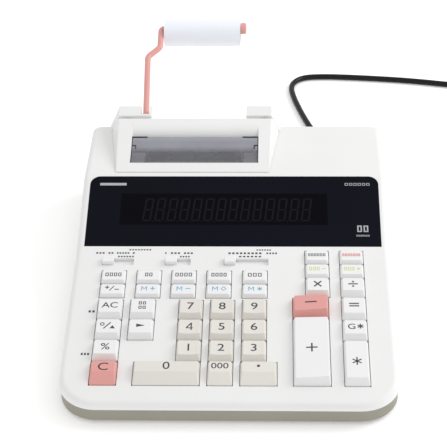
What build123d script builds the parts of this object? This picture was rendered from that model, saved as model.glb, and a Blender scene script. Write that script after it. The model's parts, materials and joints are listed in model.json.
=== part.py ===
"""Printing desk calculator with a paper roll arm, as separate pieces in millimetres.

Frame: +Z up, +X to the operator's right, +Y away from the operator. The origin is under the middle
of the whole object, on the surface that it stands on. Depths are given from the front edge of the
case (from_front), heights from the table, and places on the keyboard as (x, distance up the slope).
"""
import os
from math import cos, degrees, pi, radians, sin, tan

from build123d import *

os.makedirs("parts", exist_ok=True)

# ---------------------------------------------------------------- driving dimensions: case
CASE_WIDTH = 206.0
CASE_DEPTH = 260.0
FOOT_HEIGHT = 2.0
WALL = 2.2
FRONT_CORNER = 24.0             # plan radius of the two front corners
REAR_CORNER = 6.0
SEAM_FRONT = 11.3               # height of the parting line at the front and at the rear
SEAM_REAR = 24.0
SEAM_GAP = 0.1
LOWER_INSET = 0.6               # the upper case overhangs the lower one by this much
KEYBOARD_START = 3.0            # keyboard slope: depth and height of its front edge, angle, length
KEYBOARD_FOOT = 16.2
KEYBOARD_ANGLE = 8.56
KEYBOARD_LENGTH = 131.9
DISPLAY_ANGLE = 17.28
DISPLAY_LENGTH = 60.9

# ---------------------------------------------------------------- driving dimensions: paper roll
ROLL_DEPTH = 338.4              # depth of the spindle behind the front edge, and its height
SPINDLE_HEIGHT = 90.9
SPINDLE_RADIUS = 2.2
ROLL_WIDTH = 57.0
ROLL_RADIUS = 10.0
ROLL_BORE_RADIUS = 6.0
ROLL_LEFT = -54.9

# ---------------------------------------------------------------- driving dimensions: keys
KEY_TRAVEL = 2.5
KEY_HEIGHT = 4.0                # top of a number key above the panel
LOW_KEY_HEIGHT = 2.6            # top of a function key above the panel
KEY_SKIRT = 3.4                 # how far a key reaches below the panel's top face
KEY_SIDE_GAP = 0.4
KEY_END_GAP = 0.7               # keys of one column share one long opening
KEY_CORNER = 1.0
KEY_WALL = 1.4
CROWN_EDGE = 0.45
KEY_SIDE_SLOPE = 1.0            # how far the cap narrows on each side
FLANGE = 1.2                    # lip that keeps a key under the panel
DISH_DEPTH = 0.4                # hollow of a number key's top
MEMBRANE_DEPTH = 6.3            # membrane's top face below the panel's top face
MEMBRANE_THICKNESS = 0.8
BOARD_THICKNESS = 1.6

FRONT_Y = -(ROLL_DEPTH + ROLL_RADIUS) / 2


def from_front(depth):
    """Y of a point that lies this far behind the case's front edge."""
    return FRONT_Y + depth


def sloped_plane(depth, height, angle):
    """Plane across the object through a point, rising to the rear; local Y runs up the slope."""
    up = (0, -sin(radians(angle)), cos(radians(angle)))
    return Plane(origin=(0, from_front(depth), height), x_dir=(1, 0, 0), z_dir=up)


def up_slope(depth, height, angle, length):
    """Depth and height of the point this far up a slope."""
    return depth + length * cos(radians(angle)), height + length * sin(radians(angle))


keyboard = sloped_plane(KEYBOARD_START, KEYBOARD_FOOT, KEYBOARD_ANGLE)
DISPLAY_START, DISPLAY_FOOT = up_slope(KEYBOARD_START, KEYBOARD_FOOT, KEYBOARD_ANGLE, KEYBOARD_LENGTH)
lengthwise = Plane(origin=keyboard.origin, x_dir=keyboard.y_dir, z_dir=keyboard.x_dir)
crosswise = Plane(origin=keyboard.origin, x_dir=keyboard.x_dir, z_dir=-keyboard.y_dir)
display = sloped_plane(DISPLAY_START, DISPLAY_FOOT, DISPLAY_ANGLE)
DECK_START, DECK_HEIGHT = up_slope(DISPLAY_START, DISPLAY_FOOT, DISPLAY_ANGLE, DISPLAY_LENGTH)
CASE_BOTTOM = FOOT_HEIGHT
FLOOR_TOP = CASE_BOTTOM + WALL

# ---------------------------------------------------------------- keys
# name: centre x, front edge up the slope, width, length, and the kind of cap
NUMBER_ROWS = (31.6, 49.05, 66.6)
ROW_LENGTH = 16.2
BOTTOM_ROW = 12.3
BOTTOM_LENGTH = 18.1
MEMORY_ROW = 85.2
PRINT_ROW = 97.8
FUNCTION_LENGTH = 11.4
TAX_ROW = 103.3
CHANGE_ROW = 116.1
TAX_LENGTH = 11.7
NUMBER_COLUMNS = (-25.0, -5.1, 15.0)
FUNCTION_COLUMNS = (-76.0, -53.2, -30.7, -8.0, 15.0)
LEFT_COLUMN = -76.0
SECOND_COLUMN = -55.5
TOTAL_COLUMN = 77.5
NUMBER_WIDTH = 15.2
SIDE_WIDTH = 15.8

# cap shapes: height, front slope, back slope
PLAIN_CAP = (KEY_HEIGHT, 2.4, 2.6)
LONG_FRONT_CAP = (KEY_HEIGHT, 7.4, 2.4)
BAR_CAP = (KEY_HEIGHT, 3.4, 2.4)
LOW_CAP = (LOW_KEY_HEIGHT, 1.1, 1.9)

KEYS = {
    "key_clear": (LEFT_COLUMN, BOTTOM_ROW, 16.2, BOTTOM_LENGTH, LONG_FRONT_CAP),
    "key_percent": (LEFT_COLUMN, NUMBER_ROWS[0], SIDE_WIDTH, ROW_LENGTH, PLAIN_CAP),
    "key_percent_change": (LEFT_COLUMN, NUMBER_ROWS[1], SIDE_WIDTH, ROW_LENGTH, PLAIN_CAP),
    "key_clear_all": (LEFT_COLUMN, NUMBER_ROWS[2], SIDE_WIDTH, ROW_LENGTH, PLAIN_CAP),
    "key_right_shift": (SECOND_COLUMN, NUMBER_ROWS[1], SIDE_WIDTH, ROW_LENGTH, PLAIN_CAP),
    "key_mark_up": (SECOND_COLUMN, NUMBER_ROWS[2], SIDE_WIDTH, ROW_LENGTH, PLAIN_CAP),
    "key_0": (-37.8, BOTTOM_ROW, 40.4, BOTTOM_LENGTH, LONG_FRONT_CAP),
    "key_000": (-5.3, BOTTOM_ROW, NUMBER_WIDTH, BOTTOM_LENGTH, LONG_FRONT_CAP),
    "key_point": (18.0, BOTTOM_ROW, 22.2, BOTTOM_LENGTH, LONG_FRONT_CAP),
    "key_plus": (50.4, BOTTOM_ROW, 22.4, 54.4, BAR_CAP),
    "key_minus": (50.4, 67.9, 22.4, 17.0, (KEY_HEIGHT + 0.8, 2.6, 2.6)),
    "key_times": (55.1, 86.2, NUMBER_WIDTH, 15.8, PLAIN_CAP),
    "key_tax_minus": (55.1, TAX_ROW, NUMBER_WIDTH, TAX_LENGTH, LOW_CAP),
    "key_change": (55.1, CHANGE_ROW, NUMBER_WIDTH, TAX_LENGTH, LOW_CAP),
    "key_total": (TOTAL_COLUMN, BOTTOM_ROW, NUMBER_WIDTH, 35.4, BAR_CAP),
    "key_grand_total": (TOTAL_COLUMN, 49.0, NUMBER_WIDTH, ROW_LENGTH, PLAIN_CAP),
    "key_equals": (TOTAL_COLUMN, 66.5, NUMBER_WIDTH, 18.2, PLAIN_CAP),
    "key_divide": (TOTAL_COLUMN, 86.2, NUMBER_WIDTH, 15.8, PLAIN_CAP),
    "key_tax_plus": (TOTAL_COLUMN, TAX_ROW, NUMBER_WIDTH, TAX_LENGTH, LOW_CAP),
    "key_reprint": (TOTAL_COLUMN, CHANGE_ROW, NUMBER_WIDTH, TAX_LENGTH, LOW_CAP),
}
for row, row_start in enumerate(NUMBER_ROWS):
    for column, column_x in enumerate(NUMBER_COLUMNS):
        digit = 1 + 3 * row + column
        KEYS[f"key_{digit}"] = (column_x, row_start, NUMBER_WIDTH, ROW_LENGTH, PLAIN_CAP)
for name, column_x in zip(("sign", "m_plus", "m_minus", "m_subtotal", "m_total"), FUNCTION_COLUMNS):
    KEYS[f"key_{name}"] = (column_x, MEMORY_ROW, SIDE_WIDTH, FUNCTION_LENGTH, LOW_CAP)
for name, column_x in zip(("feed", "items", "cost", "sell", "margin"), FUNCTION_COLUMNS):
    KEYS[f"key_{name}"] = (column_x, PRINT_ROW, SIDE_WIDTH, FUNCTION_LENGTH, LOW_CAP)
DISHED_KEYS = [f"key_{digit}" for digit in range(1, 10)]
LEANING_KEYS = {"key_plus": 1.2, "key_minus": 1.6}      # how much the right side stands higher


def key_centre(name):
    """Centre of a key's foot on the keyboard plane."""
    x, start, _, length, _ = KEYS[name]
    return x, start + length / 2


def make_key(name):
    """One key: a hollow cap with two side flanges under the panel and a plunger in the middle."""
    x, start, width, length, (height, front, back) = KEYS[name]
    centre = key_centre(name)
    left = x - width / 2
    right = x + width / 2
    end = start + length
    right_height = height + LEANING_KEYS.get(name, 0.0)
    top_left = (left + KEY_SIDE_SLOPE, height)
    top_right = (right - KEY_SIDE_SLOPE, right_height)
    with BuildPart() as key:
        with BuildSketch(lengthwise.offset(left)):
            with BuildLine():
                Polyline((start, 0), (start + front, right_height), (end - back, right_height), (end, 0),
                         close=True)
            make_face()
        extrude(amount=width)
        with BuildSketch(crosswise):
            with BuildLine():
                Line((left, 0), top_left)
                if name in DISHED_KEYS:
                    ThreePointArc(top_left, (x, height - DISH_DEPTH), top_right)
                else:
                    Line(top_left, top_right)
                Polyline(top_right, (right, 0), (left, 0))
            make_face()
        extrude(amount=-end, mode=Mode.INTERSECT)
        corners = key.edges().filter_by(lambda edge: abs(edge.tangent_at(0.5).dot(keyboard.z_dir)) > 0.25)
        fillet(corners, radius=KEY_CORNER)
        crown = key.faces().sort_by(Axis(keyboard.origin, keyboard.z_dir))[-1]
        fillet(crown.edges(), radius=CROWN_EDGE)
        foot = key.faces().sort_by(Axis(keyboard.origin, keyboard.z_dir))[0]
        extrude(foot, amount=KEY_SKIRT)
        with BuildSketch(keyboard.offset(-KEY_SKIRT)):
            with Locations(centre):
                Rectangle(width - 2 * KEY_WALL, length - 2 * KEY_WALL)
        extrude(amount=KEY_SKIRT, mode=Mode.SUBTRACT)
        with BuildSketch(keyboard.offset(-KEY_SKIRT)):
            with Locations(centre):
                with GridLocations(width + 2 * KEY_SIDE_GAP + FLANGE - 0.2, 0, 2, 1):
                    Rectangle(FLANGE + 2 * KEY_SIDE_GAP + 0.2, length - 4)
        extrude(amount=KEY_SKIRT - WALL - 0.2)
        with BuildSketch(keyboard.offset(-PLUNGER_DEPTH)):
            with Locations(centre):
                Circle(PLUNGER_RADIUS)
        extrude(amount=PLUNGER_DEPTH)
    key.part.label = name
    export_step(key.part, f"parts/{name}.step")
    return key.part


PLUNGER_RADIUS = 2.4
DOME_HEIGHT = 1.0
DOME_RADIUS = 4.0
PLUNGER_DEPTH = MEMBRANE_DEPTH - DOME_HEIGHT - KEY_TRAVEL - 0.1
for key_name in KEYS:
    make_key(key_name)

# ---------------------------------------------------------------- slide switches
KNOB_WIDTH = 7.4
KNOB_LENGTH = 5.6
KNOB_HEIGHT = 3.0
KNOB_START = 115.0              # front edge up the keyboard slope
SLOT_MARGIN = 0.3
SHUTTER_OVERLAP = 5.0
SHUTTER_LENGTH = 8.4
SHUTTER_TOP = WALL + 0.2
SHUTTER_THICKNESS = 0.8
# name: left edge of the knob at its first position, and its travel to the right
SWITCHES = {
    "print_switch": (-84.3, 12.6),
    "rounding_switch": (-43.3, 8.7),
    "decimal_switch": (-5.0, 21.0),
}


def switch_slot(name):
    """Centre x and length of the slot that a switch knob runs in."""
    left, travel = SWITCHES[name]
    slot_length = KNOB_WIDTH + travel + 2 * SLOT_MARGIN
    return left - SLOT_MARGIN + slot_length / 2, slot_length


def make_switch(name):
    """A ribbed knob on a stem, with a shutter under the panel that keeps the slot closed."""
    left, travel = SWITCHES[name]
    middle = KNOB_START + KNOB_LENGTH / 2
    shutter_left = left - SLOT_MARGIN - SHUTTER_OVERLAP
    shutter_right = left + KNOB_WIDTH + travel + 2 * SLOT_MARGIN
    with BuildPart() as knob:
        with BuildSketch(keyboard.offset(-SHUTTER_TOP)):
            with Locations((left + KNOB_WIDTH / 2, middle)):
                RectangleRounded(KNOB_WIDTH, KNOB_LENGTH, 0.5)
        extrude(amount=SHUTTER_TOP + KNOB_HEIGHT)
        top = knob.part.faces().sort_by(Axis(keyboard.origin, keyboard.z_dir))[-1]
        fillet(top.edges(), radius=0.5)
        with BuildSketch(keyboard.offset(-SHUTTER_TOP - SHUTTER_THICKNESS)):
            with Locations(((shutter_left + shutter_right) / 2, middle)):
                Rectangle(shutter_right - shutter_left, SHUTTER_LENGTH)
        extrude(amount=SHUTTER_THICKNESS)
    knob.part.label = name
    export_step(knob.part, f"parts/{name}.step")


for switch_name in SWITCHES:
    make_switch(switch_name)

# ---------------------------------------------------------------- case shells
DEEP = 60.0                     # the case block is drawn this far below the table, then cut at the seam
TOP_EDGE = 4.0
CREASE_RADIUS = 9.0


def case_block(inset, corner_change):
    """Solid block with the upper case's outer shape, drawn in by inset on every side."""
    lean = radians(KEYBOARD_ANGLE)
    bend = radians(DISPLAY_ANGLE)
    shift = inset * tan((bend - lean) / 2)
    half_width = CASE_WIDTH / 2 - inset
    with BuildPart() as block:
        with BuildSketch(Plane.YZ.offset(-half_width)) as side:
            with BuildLine():
                front = (from_front(inset), KEYBOARD_FOOT - KEYBOARD_START * tan(lean))
                front = (front[0], front[1] + inset * (tan(lean) - 1 / cos(lean)))
                crease = (from_front(DISPLAY_START) + inset * sin(lean) + shift * cos(lean),
                          DISPLAY_FOOT - inset * cos(lean) + shift * sin(lean))
                brow = (from_front(DECK_START) + inset * tan(bend / 2), DECK_HEIGHT - inset)
                rear = (from_front(CASE_DEPTH - inset), DECK_HEIGHT - inset)
                Polyline((front[0], -DEEP), front, crease, brow, rear, (rear[0], -DEEP), close=True)
            make_face()
            bends = side.vertices().filter_by_position(Axis.X, from_front(2 * WALL),
                                                       from_front(CASE_DEPTH - 2 * WALL))
            fillet(bends, radius=CREASE_RADIUS)
        extrude(amount=2 * half_width)
        fillet(block.edges().filter_by(Axis.Z).group_by(Axis.Y)[0], radius=FRONT_CORNER - corner_change)
        fillet(block.edges().filter_by(Axis.Z).group_by(Axis.Y)[-1], radius=REAR_CORNER - corner_change)
        if not inset:
            fillet(block.edges().filter_by(is_rim), radius=TOP_EDGE)
    return block.part


def is_rim(edge):
    """True for the edges round the top, false for uprights, the foot and the creases across the top."""
    start, end = edge @ 0, edge @ 1
    upright = abs(edge.tangent_at(0.5).Z) > 0.9
    crosses = abs(start.X - end.X) > CASE_WIDTH / 2
    at_ends = min(start.Y - from_front(0), from_front(CASE_DEPTH) - start.Y) < 1
    return edge.center().Z > 0 and not upright and (at_ends or not crosses)


# the parting plane between the cases rises from front to rear
SEAM_ANGLE = degrees((SEAM_REAR - SEAM_FRONT) / CASE_DEPTH)
seam = sloped_plane(0, SEAM_FRONT, SEAM_ANGLE)

# printer bay, on the left half of the deck
PRINTER_X = -28.8
HUMP_HALF_WIDTH = 54.3          # at the rear edge of its top
HUMP_NARROWING = 2.0            # how much narrower each side stands at the front
HUMP_ANGLE = 13.2
HUMP_START = DECK_START + 2.5
HUMP_FLARE = 7.0                # how much further out a hump side stands at the deck, at the rear
COVER_START = HUMP_START + 2.0
HINGE_DEPTH = 247.0
HINGE_PIN_RADIUS = 1.2
COVER_NOSE = 3.2                # radius of the cover's rear edge, which is round about the hinge axis
COVER_END = HINGE_DEPTH + COVER_NOSE
COVER_HEEL = 1.8                # chamfer under the rear edge, which clears the deck as the cover swings
POST_START = COVER_END + 0.3
HINGE_CLEARANCE = 0.08
BAY_HALF_WIDTH = 42.0
BAY_START = 203.0
BAY_END = 245.0
hump = sloped_plane(HUMP_START, DECK_HEIGHT, HUMP_ANGLE)


def hump_height(depth):
    """Height of the hump's top face at this depth."""
    return DECK_HEIGHT + (depth - HUMP_START) * tan(radians(HUMP_ANGLE))


HINGE_HEIGHT = hump_height(HINGE_DEPTH) - COVER_NOSE / cos(radians(HUMP_ANGLE))
hump_rear_height = hump_height(CASE_DEPTH)


def hump_block(start, end, inset, foot):
    """Wedge of the hump between two depths, with flared sides, drawn in by inset, standing on foot."""
    flare_start = (HUMP_HALF_WIDTH - HUMP_NARROWING - inset, from_front(HUMP_START), DECK_HEIGHT)
    flare_top = (HUMP_HALF_WIDTH - inset, from_front(CASE_DEPTH), hump_rear_height)
    flare_foot = (HUMP_HALF_WIDTH + HUMP_FLARE - inset, from_front(CASE_DEPTH), DECK_HEIGHT)
    normal = (Vector(flare_top) - Vector(flare_start)).cross(Vector(flare_foot) - Vector(flare_start))
    with BuildPart() as wedge:
        with BuildSketch(Plane.YZ) as side:
            with BuildLine():
                Polyline((from_front(start), foot), (from_front(start), hump_height(start) - inset),
                         (from_front(end), hump_height(end) - inset), (from_front(end), foot), close=True)
            make_face()
        extrude(amount=HUMP_HALF_WIDTH + 2 * HUMP_FLARE, both=True)
        split(bisect_by=Plane(origin=flare_start, z_dir=normal.normalized()), keep=Keep.BOTTOM
              if normal.X > 0 else Keep.TOP)
        mirrored = Plane(origin=(-flare_start[0], flare_start[1], flare_start[2]),
                         z_dir=(-normal.X, normal.Y, normal.Z))
        split(bisect_by=mirrored, keep=Keep.BOTTOM if normal.X > 0 else Keep.TOP)
    return Location((PRINTER_X, 0, 0)) * wedge.part


# display: window glass in a recess, module behind it
GLASS_THICKNESS = 2.0
GLASS_HALF_WIDTH = 97.8
GLASS_LENGTH = 60.2
GLASS_CORNER = 7.0
GLASS_START = 0.35
GLASS_GAP = 0.1
MODULE_X = -6.5
MODULE_MIDDLE = 33.2
MODULE_SIZE = (146.0, 32.0, 6.0)
GLASS_MIDDLE = (0, GLASS_START + GLASS_LENGTH / 2)
SHELF_THICKNESS = 1.8

# roll arm pivot in the left post
ARM_X = -64.4
ARM_HUB_DEPTH = 256.0
ARM_HUB_HEIGHT = 61.6
ARM_HUB_RADIUS = 3.5
ARM_HUB_WIDTH = 5.0
ARM_PIN_RADIUS = 1.5
ARM_SLOT_HALF = 2.9
ARM_PIN_REACH = 4.0
POST_INNER_LEFT = -60.0
POST_INNER_RIGHT = 7.5
POST_FRONT_WALL = 1.6

# ears of the cover's hinge, outside the window's cheeks
EAR_MIDDLES = (-76.6, 20.8)
EAR_WIDTH = 2.4
EAR_RADIUS = 2.0
EAR_POCKET_GAP = 0.3
PIN_LENGTH = 3.0

# power board behind the keyboard, on posts
POWER_X = 52.0
POWER_DEPTH = 196.0
POWER_BOARD_HEIGHT = 9.0
POWER_POSTS = ((22, 170), (82, 170), (22, 222), (82, 222))

# screws that hold the two cases together
SCREW_PLACES = ((-92, 30), (92, 30), (-94, 136), (94, 136), (-92, 246), (92, 246))
BOSS_RADIUS = 4.2
SCREW_RADIUS = 1.5
SCREW_HEAD_RADIUS = 2.9
SCREW_HEAD_HEIGHT = 2.0
SCREW_LENGTH = 12.0
SCREW_CLEARANCE = 0.2
CROSS_LENGTH = 3.6              # cross recess in the screw heads
CROSS_WIDTH = 0.7
CROSS_DEPTH = 0.8
BOSS_TOP = 8.0
BOTTOM_EDGE = 1.4

# ---------------------------------------------------------------- upper case
with BuildPart() as upper_case:
    add(case_block(0, 0))
    add(case_block(WALL, WALL), mode=Mode.SUBTRACT)
    for boss_x, boss_depth in SCREW_PLACES:
        with BuildSketch(Plane.XY.offset(BOSS_TOP)):
            with Locations((boss_x, from_front(boss_depth))):
                Circle(BOSS_RADIUS)
        extrude(until=Until.NEXT)
    split(bisect_by=seam, keep=Keep.TOP)
    for boss_x, boss_depth in SCREW_PLACES:
        with BuildSketch(Plane.XY.offset(BOSS_TOP)):
            with Locations((boss_x, from_front(boss_depth))):
                Circle(SCREW_RADIUS)
        extrude(amount=10, mode=Mode.SUBTRACT)
    # shelf and recess for the display glass, and the opening over its module
    with BuildSketch(display.offset(-GLASS_THICKNESS - SHELF_THICKNESS)):
        with Locations(GLASS_MIDDLE):
            Rectangle(CASE_WIDTH - 2 * WALL, GLASS_LENGTH + 2)
    extrude(amount=SHELF_THICKNESS + 0.5)
    with BuildSketch(display.offset(-GLASS_THICKNESS)) as recess:
        with Locations(GLASS_MIDDLE):
            Rectangle(2 * GLASS_HALF_WIDTH + 2 * GLASS_GAP, GLASS_LENGTH + 2 * GLASS_GAP)
        fillet(recess.vertices().group_by(Axis.Y)[-1], radius=GLASS_CORNER + GLASS_GAP)
    extrude(amount=20, mode=Mode.SUBTRACT)
    with BuildSketch(display.offset(-GLASS_THICKNESS - SHELF_THICKNESS - 1)):
        with Locations((MODULE_X, MODULE_MIDDLE)):
            Rectangle(MODULE_SIZE[0] - 4, MODULE_SIZE[1] - 4)
    extrude(amount=20, mode=Mode.SUBTRACT)
    # key openings: the keys of one column share one, because their end gaps meet
    with BuildSketch(keyboard.offset(-2 * WALL)):
        for key_name, (_, _, width, length, _) in KEYS.items():
            with Locations(key_centre(key_name)):
                Rectangle(width + 2 * KEY_SIDE_GAP, length + 2 * KEY_END_GAP)
        for switch_name in SWITCHES:
            slot_x, slot_length = switch_slot(switch_name)
            with Locations((slot_x, KNOB_START + KNOB_LENGTH / 2)):
                RectangleRounded(slot_length, KNOB_LENGTH + 2 * SLOT_MARGIN, 0.6)
    extrude(amount=20, mode=Mode.SUBTRACT)
    # printer bay
    with BuildSketch(Plane.XY.offset(DECK_HEIGHT - 3 * WALL)):
        with Locations((PRINTER_X, from_front((BAY_START + BAY_END) / 2))):
            RectangleRounded(2 * BAY_HALF_WIDTH, BAY_END - BAY_START, 3)
    extrude(amount=20, mode=Mode.SUBTRACT)
    # rear posts of the hump: solid ends, open between them for the paper
    add(hump_block(POST_START, CASE_DEPTH, 0, DECK_HEIGHT - WALL / 2))
    with BuildSketch(Plane.XY.offset(DECK_HEIGHT)):
        with Locations((POST_INNER_LEFT, from_front(POST_START - 1))):
            Rectangle(POST_INNER_RIGHT - POST_INNER_LEFT, CASE_DEPTH, align=(Align.MIN, Align.MIN))
        with Locations((ARM_X, from_front(POST_START + POST_FRONT_WALL))):
            Rectangle(2 * ARM_SLOT_HALF, CASE_DEPTH, align=(Align.CENTER, Align.MIN))
    extrude(amount=40, mode=Mode.SUBTRACT)
    # blind hole for the arm's pivot pin, through the slot and into the post on each side
    with BuildSketch(Plane.YZ.offset(ARM_X - ARM_PIN_REACH)):
        with Locations((from_front(ARM_HUB_DEPTH), ARM_HUB_HEIGHT)):
            Circle(ARM_PIN_RADIUS + 0.08)
    extrude(amount=2 * ARM_PIN_REACH, mode=Mode.SUBTRACT)
    # ears that carry the printer cover's hinge pins
    for ear_x in EAR_MIDDLES:
        with BuildSketch(Plane.YZ.offset(ear_x - EAR_WIDTH / 2)):
            with Locations((from_front(HINGE_DEPTH), HINGE_HEIGHT)):
                Circle(EAR_RADIUS)
            with Locations((from_front(HINGE_DEPTH), DECK_HEIGHT - WALL / 2)):
                Rectangle(2 * EAR_RADIUS, HINGE_HEIGHT - DECK_HEIGHT + WALL / 2,
                          align=(Align.CENTER, Align.MIN))
            with Locations((from_front(HINGE_DEPTH), HINGE_HEIGHT)):
                Circle(HINGE_PIN_RADIUS + HINGE_CLEARANCE, mode=Mode.SUBTRACT)
        extrude(amount=EAR_WIDTH)
upper_case.part.label = "upper_case"
export_step(upper_case.part, "parts/upper_case.step")

# ---------------------------------------------------------------- lower case
BOARD_POSTS = ((-60, 30), (60, 30), (-60, 90), (60, 90))
CORD_X = 64.0
CORD_HEIGHT = 12.0
CORD_RADIUS = 2.3
RELIEF_NECK_RADIUS = 4.0
FRAME_PILLARS = ((-57, 212), (1, 212), (-57, 240), (1, 240))
FRAME_BASE = 16.0
with BuildPart() as lower_case:
    with BuildSketch(Plane.XY.offset(CASE_BOTTOM)) as plan:
        with Locations((0, from_front(CASE_DEPTH / 2))):
            Rectangle(CASE_WIDTH - 2 * LOWER_INSET, CASE_DEPTH - 2 * LOWER_INSET)
        fillet(plan.vertices().group_by(Axis.Y)[0], radius=FRONT_CORNER)
        fillet(plan.vertices().group_by(Axis.Y)[-1], radius=REAR_CORNER)
    extrude(amount=DECK_HEIGHT)
    fillet(lower_case.faces().sort_by(Axis.Z)[0].edges(), radius=BOTTOM_EDGE)
    with BuildSketch(Plane.XY.offset(FLOOR_TOP)):
        offset(plan.sketch.faces()[0], amount=-WALL)
    extrude(amount=DECK_HEIGHT, mode=Mode.SUBTRACT)
    split(bisect_by=seam.offset(-SEAM_GAP), keep=Keep.BOTTOM)
    for boss_x, boss_depth in SCREW_PLACES:
        with BuildSketch(Plane.XY.offset(FLOOR_TOP - 0.5)):
            with Locations((boss_x, from_front(boss_depth))):
                Circle(BOSS_RADIUS)
        extrude(amount=BOSS_TOP - FLOOR_TOP + 0.5)
        with Locations((boss_x, from_front(boss_depth), CASE_BOTTOM)):
            Cylinder(SCREW_HEAD_RADIUS + SCREW_CLEARANCE, SCREW_HEAD_HEIGHT,
                     align=(Align.CENTER, Align.CENTER, Align.MIN), mode=Mode.SUBTRACT)
            Cylinder(SCREW_RADIUS + SCREW_CLEARANCE / 2, 2 * BOSS_TOP, mode=Mode.SUBTRACT)
    for post_x, post_depth in FRAME_PILLARS:
        with BuildSketch(Plane.XY.offset(FLOOR_TOP - 0.5)):
            with Locations((post_x, from_front(post_depth))):
                Circle(3)
        extrude(amount=FRAME_BASE - FLOOR_TOP + 0.5)
    for post_x, post_depth in POWER_POSTS:
        with BuildSketch(Plane.XY.offset(FLOOR_TOP - 0.5)):
            with Locations((post_x, from_front(post_depth))):
                Circle(2.5)
        extrude(amount=POWER_BOARD_HEIGHT - FLOOR_TOP + 0.5)
    with BuildSketch(Plane.XZ.offset(-from_front(CASE_DEPTH - 2 * WALL))):
        with Locations((CORD_X, CORD_HEIGHT)):
            Circle(RELIEF_NECK_RADIUS)
    extrude(amount=-3 * WALL, mode=Mode.SUBTRACT)
lower_case.part.label = "lower_case"
export_step(lower_case.part, "parts/lower_case.step")

# ---------------------------------------------------------------- feet and screws
FOOT_PLACES = ((-80, 28), (80, 28), (-80, 236), (80, 236))
FOOT_RADIUS = 7.0
with BuildPart() as rubber_feet:
    for foot_x, foot_depth in FOOT_PLACES:
        with Locations((foot_x, from_front(foot_depth))):
            Cylinder(FOOT_RADIUS, FOOT_HEIGHT, align=(Align.CENTER, Align.CENTER, Align.MIN))
    fillet(rubber_feet.faces().group_by(Axis.Z)[0].edges(), radius=0.6)
rubber_feet.part.label = "rubber_feet"
export_step(rubber_feet.part, "parts/rubber_feet.step")

with BuildPart() as case_screws:
    for screw_x, screw_depth in SCREW_PLACES:
        with Locations((screw_x, from_front(screw_depth), CASE_BOTTOM + SCREW_CLEARANCE)):
            Cylinder(SCREW_HEAD_RADIUS, SCREW_HEAD_HEIGHT - SCREW_CLEARANCE,
                     align=(Align.CENTER, Align.CENTER, Align.MIN))
            Cylinder(SCREW_RADIUS, SCREW_LENGTH, align=(Align.CENTER, Align.CENTER, Align.MIN))
            for slot_x, slot_y in ((CROSS_LENGTH, CROSS_WIDTH), (CROSS_WIDTH, CROSS_LENGTH)):
                Box(slot_x, slot_y, CROSS_DEPTH,
                    align=(Align.CENTER, Align.CENTER, Align.MIN), mode=Mode.SUBTRACT)
case_screws.part.label = "case_screws"
export_step(case_screws.part, "parts/case_screws.step")

# ---------------------------------------------------------------- display
with BuildPart() as display_window:
    with BuildSketch(display.offset(-GLASS_THICKNESS)) as glass:
        with Locations(GLASS_MIDDLE):
            Rectangle(2 * GLASS_HALF_WIDTH, GLASS_LENGTH)
        fillet(glass.vertices().group_by(Axis.Y)[-1], radius=GLASS_CORNER)
    extrude(amount=GLASS_THICKNESS + 0.1)
    chamfer(display_window.faces().sort_by(Axis(display.origin, display.z_dir))[-1].edges(), length=0.3)
display_window.part.label = "display_window"
export_step(display_window.part, "parts/display_window.step")

with BuildPart() as lcd_module:
    with BuildSketch(display.offset(-GLASS_THICKNESS - SHELF_THICKNESS - MODULE_SIZE[2] - 0.1)):
        with Locations((MODULE_X, MODULE_MIDDLE)):
            Rectangle(MODULE_SIZE[0], MODULE_SIZE[1])
    extrude(amount=MODULE_SIZE[2])
    with BuildSketch(display.offset(-GLASS_THICKNESS - SHELF_THICKNESS - 0.1)):
        with Locations((MODULE_X, MODULE_MIDDLE)):
            Rectangle(MODULE_SIZE[0] - 5, MODULE_SIZE[1] - 5)
    extrude(amount=SHELF_THICKNESS)
lcd_module.part.label = "lcd_module"
export_step(lcd_module.part, "parts/lcd_module.step")

# ---------------------------------------------------------------- keyboard membrane and boards
MEMBRANE_SIZE = (172.0, 118.0)
MEMBRANE_MIDDLE = (0, 69.0)
with BuildPart() as keypad_membrane:
    with BuildSketch(keyboard.offset(-MEMBRANE_DEPTH - MEMBRANE_THICKNESS)):
        with Locations(MEMBRANE_MIDDLE):
            RectangleRounded(*MEMBRANE_SIZE, 4)
    extrude(amount=MEMBRANE_THICKNESS)
    for key_name in KEYS:
        with BuildSketch(keyboard.offset(-MEMBRANE_DEPTH)):
            with Locations(key_centre(key_name)):
                Circle(DOME_RADIUS)
        extrude(amount=DOME_HEIGHT, taper=30)
keypad_membrane.part.label = "keypad_membrane"
export_step(keypad_membrane.part, "parts/keypad_membrane.step")

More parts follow.
